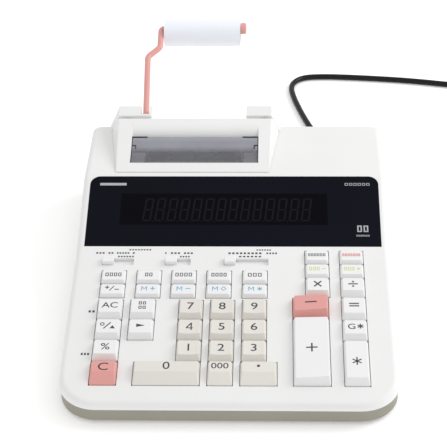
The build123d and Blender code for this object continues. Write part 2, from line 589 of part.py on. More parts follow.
with BuildPart() as circuit_boards:
    with BuildSketch(keyboard.offset(-MEMBRANE_DEPTH - MEMBRANE_THICKNESS - BOARD_THICKNESS)):
        with Locations(MEMBRANE_MIDDLE):
            Rectangle(MEMBRANE_SIZE[0] - 2, MEMBRANE_SIZE[1] - 2)
    extrude(amount=BOARD_THICKNESS)
    with Locations((POWER_X, from_front(POWER_DEPTH), POWER_BOARD_HEIGHT)):
        Box(70, 66, BOARD_THICKNESS, align=(Align.CENTER, Align.CENTER, Align.MIN))
    with Locations((POWER_X + 8, from_front(POWER_DEPTH + 10), POWER_BOARD_HEIGHT + BOARD_THICKNESS)):
        Box(34, 30, 24, align=(Align.CENTER, Align.CENTER, Align.MIN))
        Box(42, 17, 26, align=(Align.CENTER, Align.CENTER, Align.MIN))
    with Locations((POWER_X - 22, from_front(POWER_DEPTH - 12), POWER_BOARD_HEIGHT + BOARD_THICKNESS)):
        Cylinder(8, 20, align=(Align.CENTER, Align.CENTER, Align.MIN))
    with Locations((POWER_X - 22, from_front(POWER_DEPTH + 12), POWER_BOARD_HEIGHT + BOARD_THICKNESS)):
        Cylinder(5, 14, align=(Align.CENTER, Align.CENTER, Align.MIN))
    with Locations((POWER_X + 12, from_front(POWER_DEPTH - 20), POWER_BOARD_HEIGHT + BOARD_THICKNESS)):
        Box(22, 12, 3, align=(Align.CENTER, Align.CENTER, Align.MIN))
circuit_boards.part.label = "circuit_boards"
export_step(circuit_boards.part, "parts/circuit_boards.step")

# ---------------------------------------------------------------- printer cover and paper cutter
WINDOW_LEFT = -72.2
WINDOW_RIGHT = 16.4
WINDOW_START = 204.6
WINDOW_END = 244.8
TROUGH_FOOT = (232.4, 57.6)
TROUGH_THICKNESS = 1.6
CHEEK = 1.5
COVER_FOOT = DECK_HEIGHT + 0.25
COVER_HOLLOW_START = HUMP_START + (WALL + 0.5) / tan(radians(HUMP_ANGLE))
CUTTER_FRONT = (205.0, 56.2)
CUTTER_BEND = (217.0, 57.6)
CUTTER_EDGE = (229.6, 62.2)
CUTTER_THICKNESS = 1.2
PAD_WIDTH = 10.2
PAD_TOP = CUTTER_FRONT[1] - CUTTER_THICKNESS
TROUGH_SAG = 2.2
TOOTH_PITCH = 2.0
TOOTH_DEPTH = 1.0
TEAR_LEFT = -61.2
TEAR_RIGHT = 4.8


def lay_back(*points):
    """Points given as (depth, height), as points of the Y-Z plane."""
    return [(from_front(depth), height) for depth, height in points]


with BuildPart() as printer_cover:
    add(hump_block(COVER_START, COVER_END, 0, COVER_FOOT))
    rear_edge = printer_cover.edges().filter_by(Axis.X).group_by(Axis.Y)[-1].sort_by(Axis.Z)[-1]
    fillet(rear_edge, radius=COVER_NOSE - 0.01)
    heel = printer_cover.edges().filter_by(Axis.X).group_by(Axis.Y)[-1].sort_by(Axis.Z)[0]
    chamfer(heel, length=COVER_HEEL)
    add(hump_block(COVER_HOLLOW_START, HINGE_DEPTH, WALL, COVER_FOOT - 1), mode=Mode.SUBTRACT)
    # way for the paper under the rear edge
    with Locations(((WINDOW_LEFT + WINDOW_RIGHT) / 2, from_front(HINGE_DEPTH - 1), COVER_FOOT - 1)):
        Box(WINDOW_RIGHT - WINDOW_LEFT, COVER_NOSE + 2, HINGE_HEIGHT - COVER_NOSE / 2 - COVER_FOOT + 1,
            align=(Align.CENTER, Align.MIN, Align.MIN), mode=Mode.SUBTRACT)
    # window opening through the top
    with BuildSketch(Plane.XY.offset(COVER_FOOT)):
        with Locations((WINDOW_LEFT, from_front(WINDOW_START))):
            Rectangle(WINDOW_RIGHT - WINDOW_LEFT, WINDOW_END - WINDOW_START, align=(Align.MIN, Align.MIN))
    extrude(amount=30, mode=Mode.SUBTRACT)
    # cheeks on both sides of the window
    for cheek_x in (WINDOW_LEFT - CHEEK, WINDOW_RIGHT):
        with BuildSketch(Plane.YZ.offset(cheek_x)):
            with BuildLine():
                Polyline(*lay_back((WINDOW_START, COVER_FOOT), (WINDOW_START, hump_height(WINDOW_START) - 1),
                                   (HINGE_DEPTH, hump_height(HINGE_DEPTH) - 1), (COVER_END, HINGE_HEIGHT),
                                   (COVER_END, COVER_FOOT + 4), (COVER_END - 6, COVER_FOOT)), close=True)
            make_face()
        extrude(amount=CHEEK)
    # concave wall behind the paper slot
    with BuildSketch(Plane.YZ.offset(WINDOW_LEFT)):
        with BuildLine():
            top, foot = lay_back((WINDOW_END, hump_height(WINDOW_END)), TROUGH_FOOT)
            back_top, back_foot = lay_back((WINDOW_END + TROUGH_THICKNESS, hump_height(WINDOW_END) - 0.5),
                                           (TROUGH_FOOT[0] + 1, TROUGH_FOOT[1] - TROUGH_THICKNESS))
            SagittaArc(top, foot, -TROUGH_SAG)
            Line(foot, back_foot)
            SagittaArc(back_foot, back_top, TROUGH_SAG)
            Line(back_top, top)
        make_face()
    extrude(amount=WINDOW_RIGHT - WINDOW_LEFT)
    # pads under the two front corners of the cutter
    for pad_x in (WINDOW_LEFT, WINDOW_RIGHT - PAD_WIDTH):
        with BuildSketch(Plane.YZ.offset(pad_x)):
            with BuildLine():
                Polyline(*lay_back((WINDOW_START - 1, COVER_FOOT), (WINDOW_START - 1, PAD_TOP + 0.2),
                                   (CUTTER_FRONT[0], PAD_TOP),
                                   (CUTTER_BEND[0], CUTTER_BEND[1] - CUTTER_THICKNESS),
                                   (CUTTER_BEND[0], COVER_FOOT)), close=True)
            make_face()
        extrude(amount=PAD_WIDTH)
    # pockets in the underside for the hinge ears, open to the rear
    for ear_x in EAR_MIDDLES:
        with Locations((ear_x, from_front(COVER_END + 1), COVER_FOOT - 1)):
            Box(EAR_WIDTH + 2 * EAR_POCKET_GAP, COVER_END + 1 - HINGE_DEPTH + EAR_RADIUS + 1,
                HINGE_HEIGHT + EAR_RADIUS + EAR_POCKET_GAP - COVER_FOOT + 1,
                align=(Align.CENTER, Align.MAX, Align.MIN), mode=Mode.SUBTRACT)
    # hinge pins, from the cheeks into the ears
    for pin_start, side in ((WINDOW_LEFT - CHEEK, -1), (WINDOW_RIGHT + CHEEK, 1)):
        with BuildSketch(Plane.YZ.offset(pin_start)):
            with Locations(lay_back((HINGE_DEPTH, HINGE_HEIGHT))[0]):
                Circle(HINGE_PIN_RADIUS)
        extrude(amount=side * PIN_LENGTH)
printer_cover.part.label = "printer_cover"
export_step(printer_cover.part, "parts/printer_cover.step")

teeth = int((TEAR_RIGHT - TEAR_LEFT) / TOOTH_PITCH)
slope = Plane(origin=(0, *lay_back(CUTTER_BEND)[0]), x_dir=(1, 0, 0),
              z_dir=(0, CUTTER_BEND[1] - CUTTER_EDGE[1], CUTTER_EDGE[0] - CUTTER_BEND[0]))
slope_length = (Vector(*CUTTER_EDGE) - Vector(*CUTTER_BEND)).length
with BuildPart() as paper_cutter:
    with BuildSketch(Plane.YZ.offset(WINDOW_LEFT)):
        with BuildLine():
            Polyline(*lay_back(CUTTER_FRONT, CUTTER_BEND, CUTTER_EDGE,
                               (CUTTER_EDGE[0], CUTTER_EDGE[1] - CUTTER_THICKNESS),
                               (CUTTER_BEND[0], CUTTER_BEND[1] - CUTTER_THICKNESS),
                               (CUTTER_FRONT[0], CUTTER_FRONT[1] - CUTTER_THICKNESS)), close=True)
        make_face()
    extrude(amount=WINDOW_RIGHT - WINDOW_LEFT)
    # saw teeth along the tear edge
    with BuildSketch(slope.offset(-3)):
        with BuildLine():
            edge_points = [(TEAR_LEFT, slope_length + 2)]
            for tooth in range(teeth):
                left = TEAR_LEFT + tooth * TOOTH_PITCH
                edge_points.append((left, slope_length - TOOTH_DEPTH))
                edge_points.append((left + TOOTH_PITCH / 2, slope_length - 0.02))
            edge_points.append((TEAR_LEFT + teeth * TOOTH_PITCH, slope_length - TOOTH_DEPTH))
            edge_points.append((TEAR_LEFT + teeth * TOOTH_PITCH, slope_length + 2))
            Polyline(*edge_points, close=True)
        make_face()
    extrude(amount=6, mode=Mode.SUBTRACT)
paper_cutter.part.label = "paper_cutter"
export_step(paper_cutter.part, "parts/paper_cutter.step")

# ---------------------------------------------------------------- printing mechanism
FRAME_LEFT = -62.0
FRAME_RIGHT = 6.0
FRAME_WALL = 1.6
FRAME_START = 207.0
FRAME_END = 244.0
FRAME_TOP = 49.2
DRUM = (216.0, 42.0, 7.0)       # depth, height and radius
DRUM_SHAFT_RADIUS = 2.0
ROLLER = (233.5, 41.0, 5.5)
ROLLER_SHAFT_RADIUS = 1.5
SHAFT_CLEARANCE = 0.08
SHAFT_END = 1.5
with BuildPart() as printer_frame:
    with Locations(((FRAME_LEFT + FRAME_RIGHT) / 2, from_front((FRAME_START + FRAME_END) / 2), FRAME_BASE)):
        Box(FRAME_RIGHT - FRAME_LEFT, FRAME_END - FRAME_START, FRAME_WALL,
            align=(Align.CENTER, Align.CENTER, Align.MIN))
    for wall_x in (FRAME_LEFT, FRAME_RIGHT - FRAME_WALL):
        with BuildSketch(Plane.YZ.offset(wall_x)):
            with Locations((from_front((FRAME_START + FRAME_END) / 2), FRAME_BASE)):
                Rectangle(FRAME_END - FRAME_START, FRAME_TOP - FRAME_BASE, align=(Align.CENTER, Align.MIN))
            for (depth, height, _), radius in ((DRUM, DRUM_SHAFT_RADIUS), (ROLLER, ROLLER_SHAFT_RADIUS)):
                with Locations((from_front(depth), height)):
                    Circle(radius + SHAFT_CLEARANCE, mode=Mode.SUBTRACT)
        extrude(amount=FRAME_WALL)
    # paper guide under the drum, and the motor beside the frame
    with BuildSketch(Plane.YZ.offset(FRAME_LEFT + FRAME_WALL)):
        with Locations((from_front(225.0), 26.0)):
            Rectangle(30, 1.5)
    extrude(amount=FRAME_RIGHT - FRAME_LEFT - 2 * FRAME_WALL)
    with BuildSketch(Plane.YZ.offset(FRAME_RIGHT)):
        with Locations((from_front(225.0), 28.0)):
            Circle(9.5)
    extrude(amount=12)
printer_frame.part.label = "printer_frame"
export_step(printer_frame.part, "parts/printer_frame.step")


def make_roller(name, place, shaft_radius, ridges):
    """A roller on its shaft, which runs in both side plates; ridges stand for its bands."""
    depth, height, radius = place
    with BuildPart() as roller:
        with BuildSketch(Plane.YZ.offset(FRAME_LEFT - SHAFT_END)):
            with Locations((from_front(depth), height)):
                Circle(shaft_radius)
        extrude(amount=FRAME_RIGHT - FRAME_LEFT + 2 * SHAFT_END)
        body_start = FRAME_LEFT + FRAME_WALL + 0.5
        band = (FRAME_RIGHT - FRAME_LEFT - 2 * FRAME_WALL - 1) / ridges
        for ridge in range(ridges):
            with BuildSketch(Plane.YZ.offset(body_start + ridge * band)):
                with Locations((from_front(depth), height)):
                    Circle(radius)
            extrude(amount=0.8 * band)
    roller.part.label = name
    export_step(roller.part, f"parts/{name}.step")


make_roller("print_drum", DRUM, DRUM_SHAFT_RADIUS, 14)
make_roller("feed_roller", ROLLER, ROLLER_SHAFT_RADIUS, 4)

# ---------------------------------------------------------------- roll arm and paper roll
JOG_START = (-66.0, 311.6)      # x and depth of the bends in the arm
JOG_END = (-57.3, 320.6)
BEND_RADII = (6.0, 6.0, 3.0)
CAP_RADIUS = 4.2
CAP_START = ROLL_LEFT + ROLL_WIDTH + 0.3
CAP_THICKNESS = 4.2


def arm_height(depth):
    """Height of the arm's middle line, which is straight from the hub to the spindle in side view."""
    share = (depth - ARM_HUB_DEPTH) / (ROLL_DEPTH - ARM_HUB_DEPTH)
    return ARM_HUB_HEIGHT + share * (SPINDLE_HEIGHT - ARM_HUB_HEIGHT)


def arm_point(x, depth):
    """Point of the arm's middle line."""
    return x, from_front(depth), arm_height(depth)


with BuildPart() as paper_arm:
    with BuildLine() as arm_line:
        FilletPolyline(arm_point(ARM_X, ARM_HUB_DEPTH), arm_point(*JOG_START), arm_point(*JOG_END),
                       arm_point(JOG_END[0], ROLL_DEPTH), arm_point(CAP_START, ROLL_DEPTH), radius=BEND_RADII)
    with BuildSketch(Plane(origin=arm_line.line @ 0, z_dir=arm_line.line % 0)):
        Circle(SPINDLE_RADIUS)
    sweep(path=arm_line.line, transition=Transition.ROUND)
    with BuildSketch(Plane.YZ.offset(CAP_START)):
        with Locations((from_front(ROLL_DEPTH), SPINDLE_HEIGHT)):
            Circle(CAP_RADIUS)
    extrude(amount=CAP_THICKNESS)
    fillet(paper_arm.faces().sort_by(Axis.X)[-1].edges(), radius=1.4)
    with BuildSketch(Plane.YZ.offset(ARM_X - ARM_HUB_WIDTH / 2)):
        with Locations((from_front(ARM_HUB_DEPTH), ARM_HUB_HEIGHT)):
            Circle(ARM_HUB_RADIUS)
    extrude(amount=ARM_HUB_WIDTH)
    with BuildSketch(Plane.YZ.offset(ARM_X - ARM_PIN_REACH + 0.3)):
        with Locations((from_front(ARM_HUB_DEPTH), ARM_HUB_HEIGHT)):
            Circle(ARM_PIN_RADIUS)
    extrude(amount=2 * ARM_PIN_REACH - 0.6)
paper_arm.part.label = "paper_arm"
export_step(paper_arm.part, "parts/paper_arm.step")

ROLL_DROP = ROLL_BORE_RADIUS - SPINDLE_RADIUS - 0.08    # the roll hangs with its bore on the spindle
with BuildPart() as paper_roll:
    with BuildSketch(Plane.YZ.offset(ROLL_LEFT)):
        with Locations((from_front(ROLL_DEPTH), SPINDLE_HEIGHT - ROLL_DROP)):
            Circle(ROLL_RADIUS)
            Circle(ROLL_BORE_RADIUS, mode=Mode.SUBTRACT)
    extrude(amount=ROLL_WIDTH)
paper_roll.part.label = "paper_roll"
export_step(paper_roll.part, "parts/paper_roll.step")

# ---------------------------------------------------------------- mains lead
RELIEF_LENGTH = 26.0
RELIEF_TIP_RADIUS = 2.9
COIL_CENTRE = (216.0, 381.0)    # x and depth of the put-away coil
COIL_TURN_RADIUS = 27.0         # middle line of the turns
COIL_HALF_BAND = 6.9            # three turns beside each other, three on each other
PLUG_BODY = (14.0, 34.0, 30.0)  # thickness, length behind the pins, width at the pin face
PIN_RADIUS = 2.0
PIN_PITCH = 18.6
PIN_LENGTH_OUT = 19.0
RELIEF_END = CASE_DEPTH + RELIEF_LENGTH
# (x, depth, height): straight out of the strain relief, down to the table, round a tight bend and away
# to the right, onto the outside turn of the coil
ROUTE = (
    (CORD_X, RELIEF_END, CORD_HEIGHT),
    (CORD_X, 306.0, CORD_HEIGHT - 1.0),
    (60.0, 330.0, CORD_RADIUS),
    (51.0, 357.0, CORD_RADIUS),
    (42.5, 392.0, CORD_RADIUS),
    (41.0, 411.0, CORD_RADIUS),
    (50.0, 423.0, CORD_RADIUS),
    (68.0, 425.0, CORD_RADIUS),
    (100.0, 422.5, CORD_RADIUS),
    (140.0, 417.5, CORD_RADIUS),
    (176.0, 409.5, CORD_RADIUS),
    (COIL_CENTRE[0], COIL_CENTRE[1] + COIL_TURN_RADIUS, CORD_RADIUS),
)
PLUG_X = COIL_CENTRE[0] + COIL_TURN_RADIUS
PLUG_START = COIL_CENTRE[1] - 36.0
PLUG_HEIGHT = PLUG_BODY[0] / 2
TAIL = (
    (PLUG_X, COIL_CENTRE[1], CORD_RADIUS),
    (PLUG_X, COIL_CENTRE[1] - 17.0, CORD_RADIUS + 1.0),
    (PLUG_X, PLUG_START, PLUG_HEIGHT),
)


def bend_radii(points):
    """As large a radius at each corner as 0.45 of the shorter run beside it allows."""
    radii = []
    for before, corner, after in zip(points, points[1:], points[2:]):
        run_in, run_out = Vector(corner) - Vector(before), Vector(after) - Vector(corner)
        shorter = min(run_in.length, run_out.length)
        radii.append(0.45 * shorter / tan(radians(run_in.get_angle(run_out)) / 2))
    return radii


def lay_cord(route):
    """Sweep the cord's round section along a route of (x, depth, height) points."""
    points = [(x, from_front(depth), height) for x, depth, height in route]
    radii = bend_radii(points)
    with BuildPart() as tube:
        with BuildLine() as line:
            FilletPolyline(*points, radius=radii)
        with BuildSketch(Plane(origin=line.line @ 0, z_dir=line.line % 0)):
            Circle(CORD_RADIUS)
        sweep(path=line.line)
    length = sum(edge.length for edge in line.edges())
    print("cord radii", [round(radius, 1) for radius in radii], "length", round(length, 1),
          "volume ratio", round(tube.part.volume / (length * pi * CORD_RADIUS ** 2), 4))
    return tube.part


with BuildPart() as power_cord:
    add(lay_cord(ROUTE))
    add(lay_cord(TAIL))
power_cord.part.label = "power_cord"
export_step(power_cord.part, "parts/power_cord.step")

with BuildPart() as cord_coil:
    with BuildSketch(Plane.XZ.offset(-from_front(COIL_CENTRE[1]))):
        with Locations((COIL_CENTRE[0] + COIL_TURN_RADIUS, COIL_HALF_BAND)):
            RectangleRounded(2 * COIL_HALF_BAND, 2 * COIL_HALF_BAND, CORD_RADIUS)
    revolve(axis=Axis((COIL_CENTRE[0], from_front(COIL_CENTRE[1]), 0), (0, 0, 1)))
cord_coil.part.label = "cord_coil"
export_step(cord_coil.part, "parts/cord_coil.step")

with BuildPart() as cord_fittings:
    # strain relief: collar inside the wall, neck through it, tapered tail behind the case
    relief_plane = Plane.XZ.offset(-from_front(CASE_DEPTH - LOWER_INSET))
    with BuildSketch(relief_plane.offset(WALL + 0.05)):
        with Locations((CORD_X, CORD_HEIGHT)):
            Circle(RELIEF_NECK_RADIUS + 2)
    extrude(amount=2.5)
    with BuildSketch(relief_plane.offset(WALL + 0.05)):
        with Locations((CORD_X, CORD_HEIGHT)):
            Circle(RELIEF_NECK_RADIUS)
    extrude(amount=-WALL - 1.0)
    with BuildSketch(relief_plane.offset(-0.05)):
        with Locations((CORD_X, CORD_HEIGHT)):
            Circle(RELIEF_NECK_RADIUS + 1)
    with BuildSketch(relief_plane.offset(-RELIEF_LENGTH - LOWER_INSET)):
        with Locations((CORD_X, CORD_HEIGHT)):
            Circle(RELIEF_TIP_RADIUS)
    loft(ruled=True)
    # flat two-pin plug, lying on its broad side beside the coil
    with BuildSketch(Plane.XZ.offset(-from_front(PLUG_START))):
        with Locations((PLUG_X, PLUG_HEIGHT)):
            RectangleRounded(12, 10, 3)
    with BuildSketch(Plane.XZ.offset(-from_front(PLUG_START - PLUG_BODY[1]))):
        with Locations((PLUG_X, PLUG_HEIGHT)):
            RectangleRounded(PLUG_BODY[2], PLUG_BODY[0], 6)
    loft()
    with BuildSketch(Plane.XZ.offset(-from_front(PLUG_START - PLUG_BODY[1]))):
        with Locations((PLUG_X, PLUG_HEIGHT)):
            with GridLocations(PIN_PITCH, 0, 2, 1):
                Circle(PIN_RADIUS)
    extrude(amount=PIN_LENGTH_OUT)
    fillet(cord_fittings.faces().group_by(Axis.Y)[0].edges(), radius=1.2)
cord_fittings.part.label = "cord_fittings"
export_step(cord_fittings.part, "parts/cord_fittings.step")
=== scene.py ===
"""Looks of a printing desk calculator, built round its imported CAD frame.

Lengths are in millimetres and MM turns them into metres, unless a comment says metres. Places on a
sloped face are (x, v): x to the operator's right from the middle of the object, and v up that
face's own slope.
"""
import json
from math import cos, pi, radians, sin

import bmesh
import bpy
from mathutils import Matrix, Vector
from mathutils.bvhtree import BVHTree


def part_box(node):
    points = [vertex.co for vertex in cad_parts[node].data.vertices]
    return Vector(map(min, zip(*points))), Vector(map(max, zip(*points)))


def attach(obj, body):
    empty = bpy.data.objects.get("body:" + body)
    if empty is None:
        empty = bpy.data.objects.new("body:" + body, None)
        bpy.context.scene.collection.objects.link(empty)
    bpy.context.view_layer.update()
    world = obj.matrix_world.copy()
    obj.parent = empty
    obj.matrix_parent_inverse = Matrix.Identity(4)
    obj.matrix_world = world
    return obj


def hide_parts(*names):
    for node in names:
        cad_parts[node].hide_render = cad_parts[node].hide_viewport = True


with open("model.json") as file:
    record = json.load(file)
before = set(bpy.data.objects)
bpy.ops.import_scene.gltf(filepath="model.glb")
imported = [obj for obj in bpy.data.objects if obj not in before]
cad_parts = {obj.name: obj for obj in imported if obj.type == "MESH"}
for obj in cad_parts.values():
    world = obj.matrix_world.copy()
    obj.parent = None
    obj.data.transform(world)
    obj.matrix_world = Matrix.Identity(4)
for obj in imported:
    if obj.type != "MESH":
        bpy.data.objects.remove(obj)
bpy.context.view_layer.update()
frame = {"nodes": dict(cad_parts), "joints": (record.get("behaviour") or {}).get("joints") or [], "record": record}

MM = 0.001
X_AXIS = Vector((1, 0, 0))
Y_AXIS = Vector((0, 1, 0))
UP = Vector((0, 0, 1))
nodes = frame["nodes"]
FRONT_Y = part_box("upper_case")[0].y       # front edge of the case, in metres


def from_front(x, depth, height):
    """A point given in millimetres: x, depth behind the case's front edge, and height."""
    return Vector((x * MM, FRONT_Y + depth * MM, height * MM))


# ------------------------------------------------------------------ camera
CAMERA_PLACE = (26.4, -670.4, 606.4)
LENS, SENSOR_WIDTH = 120.8, 36
YAW, PITCH, ROLL = (radians(a) for a in (-2.276, 34.453, -1.200))
CLIP_START, CLIP_END = 0.05, 20           # metres


def make_camera():
    data = bpy.data.cameras.new("camera")
    data.lens = LENS
    data.sensor_width = SENSOR_WIDTH
    data.clip_start = CLIP_START
    data.clip_end = CLIP_END
    camera = bpy.data.objects.new("camera", data)
    forward = Vector((sin(YAW) * cos(PITCH), cos(YAW) * cos(PITCH), -sin(PITCH)))
    side = Vector((cos(YAW), -sin(YAW), 0))
    up = side.cross(forward)
    right = cos(ROLL) * side + sin(ROLL) * up
    top = cos(ROLL) * up - sin(ROLL) * side
    turn = Matrix((right, top, -forward)).transposed().to_4x4()
    camera.matrix_world = Matrix.Translation(from_front(*CAMERA_PLACE)) @ turn
    bpy.context.scene.collection.objects.link(camera)
    bpy.context.scene.camera = camera


make_camera()


# ------------------------------------------------------------------ mesh helpers
SHARP_ANGLE = radians(35)


def new_object(name, data, body, material=None):
    piece = bpy.data.objects.new(name, data)
    bpy.context.scene.collection.objects.link(piece)
    if material:
        data.materials.append(material)
    if body:
        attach(piece, body)
    return piece


def mesh_of(bm, name, smooth=True):
    mesh = bpy.data.meshes.new(name)
    bm.to_mesh(mesh)
    bm.free()
    if smooth:
        for polygon in mesh.polygons:
            polygon.use_smooth = True
    return mesh


def skin(bm, rings, endless=False):
    """Joins rings of vertices by faces, and caps the two ends unless the rings come round."""
    count = len(rings[0])
    for one, two in zip(rings, rings[1:] + rings[:1] if endless else rings[1:]):
        for k in range(count):
            bm.faces.new((one[k], one[(k + 1) % count], two[(k + 1) % count], two[k]))
    if not endless:
        bm.faces.new(list(reversed(rings[0])))
        bm.faces.new(rings[-1])


def loft(name, sections):
    """A closed mesh through sections that have the same number of points."""
    bm = bmesh.new()
    skin(bm, [[bm.verts.new(point) for point in section] for section in sections])
    bmesh.ops.recalc_face_normals(bm, faces=bm.faces)
    mesh = mesh_of(bm, name)
    mesh.set_sharp_from_angle(angle=SHARP_ANGLE)
    return mesh


def lathe(name, profile, place, axis, steps):
    """A closed mesh turned from (distance along the axis, radius) pairs in millimetres."""
    turn = axis.to_track_quat("Z", "Y").to_matrix()
    angles = [2 * pi * k / steps for k in range(steps)]
    return loft(name, [
        [place + turn @ (Vector((radius * cos(a), radius * sin(a), along)) * MM) for a in angles]
        for along, radius in profile])


# ------------------------------------------------------------------ materials
def fresh_material(name):
    material = bpy.data.materials.new(name)
    material.use_nodes = True
    tree = material.node_tree
    return material, tree, tree.nodes["Principled BSDF"]


def add_node(tree, kind, **values):
    """A new node, with each value put on its socket of that name or on its setting."""
    node = tree.nodes.new(kind)
    for key, value in values.items():
        if key in node.inputs:
            node.inputs[key].default_value = value
        else:
            setattr(node, key, value)
    return node


def noise(tree, coordinates, scale, detail=2.0, roughness=0.5):
    found = add_node(tree, "ShaderNodeTexNoise", Scale=scale, Detail=detail, Roughness=roughness)
    tree.links.new(coordinates, found.inputs["Vector"])
    return found.outputs["Fac"]


def ramp(tree, value, low, high, stops=(0.3, 0.7)):
    """A colour that goes from low to high while the value goes from one stop to the other."""
    found = tree.nodes.new("ShaderNodeValToRGB")
    for element, position, color in zip(found.color_ramp.elements, stops, (low, high)):
        element.position = position
        element.color = (*color, 1)
    tree.links.new(value, found.inputs["Fac"])
    return found.outputs["Color"]


def tint(tree, shader, value, low, high, stops=(0.3, 0.7)):
    tree.links.new(ramp(tree, value, low, high, stops), shader.inputs["Base Color"])


def remapped(tree, value, **ends):
    """The value through a map range node whose ends are given as from_min, to_max and so on."""
    found = tree.nodes.new("ShaderNodeMapRange")
    for key, end in ends.items():
        found.inputs[key.replace("_", " ").title()].default_value = end
    tree.links.new(value, found.inputs["Value"])
    return found.outputs["Result"]


def scaled(color, factor):
    return tuple(min(c * factor, 1.0) for c in color)


def coordinates_of(tree):
    return tree.nodes.new("ShaderNodeTexCoord").outputs["Object"]


def parts_of(tree, vector):
    """The outputs of a vector's X, Y and Z."""
    split = tree.nodes.new("ShaderNodeSeparateXYZ")
    tree.links.new(vector, split.inputs[0])
    return split.outputs


def bump(tree, shader, layers):
    """Chains (height, strength, distance in metres) layers into the shader's normal."""
    normal = None
    for height, strength, distance in layers:
        found = add_node(tree, "ShaderNodeBump", Strength=strength, Distance=distance)
        tree.links.new(height, found.inputs["Height"])
        if normal:
            tree.links.new(normal, found.inputs["Normal"])
        normal = found.outputs["Normal"]
    tree.links.new(normal, shader.inputs["Normal"])


GLOSS_SPREAD = 0.07


def moulded(name, color, rough, grain, depth, mottle, specular=0.4):
    """Injection-moulded plastic: grain (its depth in metres), flow mottling and uneven gloss."""
    material, tree, shader = fresh_material(name)
    place = coordinates_of(tree)
    cloud = noise(tree, place, scale=22.0, detail=3.0)
    tint(tree, shader, cloud, scaled(color, 1 - mottle), scaled(color, 1 + mottle))
    gloss = remapped(tree, noise(tree, place, scale=60.0, detail=4.0),
                     to_min=rough - GLOSS_SPREAD, to_max=rough + GLOSS_SPREAD)
    tree.links.new(gloss, shader.inputs["Roughness"])
    fine = noise(tree, place, grain, detail=3.0, roughness=0.6)
    bump(tree, shader, [(fine, 0.35, depth), (cloud, 0.15, depth * 4)])
    shader.inputs["Specular IOR Level"].default_value = specular
    return material


def ink(name, color):
    """Pad-printed ink: matt, with the slight unevenness of a thin film."""
    material, tree, shader = fresh_material(name)
    film = noise(tree, coordinates_of(tree), scale=2600.0)
    tint(tree, shader, film, scaled(color, 0.88), scaled(color, 1.12))
    bump(tree, shader, [(film, 0.2, 0.00001)])
    shader.inputs["Roughness"].default_value = 0.55
    shader.inputs["Specular IOR Level"].default_value = 0.25
    return material


case_white = moulded("case_white", (0.83, 0.83, 0.825),
                     rough=0.48, grain=1700.0, depth=0.00002, mottle=0.012)
case_grey = moulded("case_grey", (0.315, 0.298, 0.245),
                    rough=0.55, grain=1500.0, depth=0.00003, mottle=0.03)
key_white = moulded("key_white", (0.85, 0.85, 0.85),
                    rough=0.34, grain=2600.0, depth=0.00001, mottle=0.01)
key_beige = moulded("key_beige", (0.765, 0.735, 0.69),
                    rough=0.36, grain=2600.0, depth=0.00001, mottle=0.02)
key_pink = moulded("key_pink", (0.755, 0.35, 0.32),
                   rough=0.34, grain=2600.0, depth=0.00001, mottle=0.02)
foot_rubber = moulded("foot_rubber", (0.045, 0.045, 0.045),
                      rough=0.8, grain=1100.0, depth=0.00008, mottle=0.15, specular=0.2)
roller_rubber = moulded("roller_rubber", (0.03, 0.03, 0.03),
                        rough=0.6, grain=2200.0, depth=0.00004, mottle=0.2, specular=0.3)
printer_plastic = moulded("printer_plastic", (0.10, 0.10, 0.105),
                          rough=0.5, grain=1500.0, depth=0.00003, mottle=0.1)
drum_plastic = moulded("drum_plastic", (0.30, 0.265, 0.19),
                       rough=0.4, grain=1800.0, depth=0.00002, mottle=0.1)
silicone = moulded("silicone", (0.6, 0.61, 0.63),
                   rough=0.5, grain=900.0, depth=0.00003, mottle=0.05, specular=0.5)
cord_pvc = moulded("cord_pvc", (0.006, 0.006, 0.007),
                   rough=0.24, grain=1300.0, depth=0.00001, mottle=0.2, specular=0.22)
relief_pvc = moulded("relief_pvc", (0.010, 0.010, 0.011),
                     rough=0.38, grain=1500.0, depth=0.00002, mottle=0.2, specular=0.25)

ink_dark = ink("ink_dark", (0.072, 0.072, 0.08))
ink_blue = ink("ink_blue", (0.20, 0.45, 0.65))
ink_green = ink("ink_green", (0.60, 0.66, 0.24))
ink_red = ink("ink_red", (0.70, 0.19, 0.19))
ink_panel = ink("ink_panel", (0.42, 0.43, 0.46))


def polished_panel():
    """Dark acrylic with a hard coat: deep navy, a trace of orange peel in its gloss."""
    material, tree, shader = fresh_material("display_glass")
    place = coordinates_of(tree)
    depth = noise(tree, place, scale=9.0)
    tint(tree, shader, depth, (0.003, 0.0035, 0.0075), (0.0045, 0.005, 0.0105))
    bump(tree, shader, [(noise(tree, place, scale=140.0), 0.04, 0.00005)])
    shader.inputs["Roughness"].default_value = 0.11
    shader.inputs["Specular IOR Level"].default_value = 0.06
    return material


def screen(name, low, high, rough):
    """The display cell or its figures, with the slight unevenness of a film."""
    material, tree, shader = fresh_material(name)
    film = noise(tree, coordinates_of(tree), scale=500.0)
    tint(tree, shader, film, low, high)
    shader.inputs["Roughness"].default_value = rough
    shader.inputs["Specular IOR Level"].default_value = 0.03
    return material


# (depth, height) of the smoked plate's top face: front edge, bend and tear edge
PLATE_PROFILE = ((205.0, 56.2), (217.0, 57.6), (229.6, 62.2))
PLATE_BEND = PLATE_PROFILE[1][0]


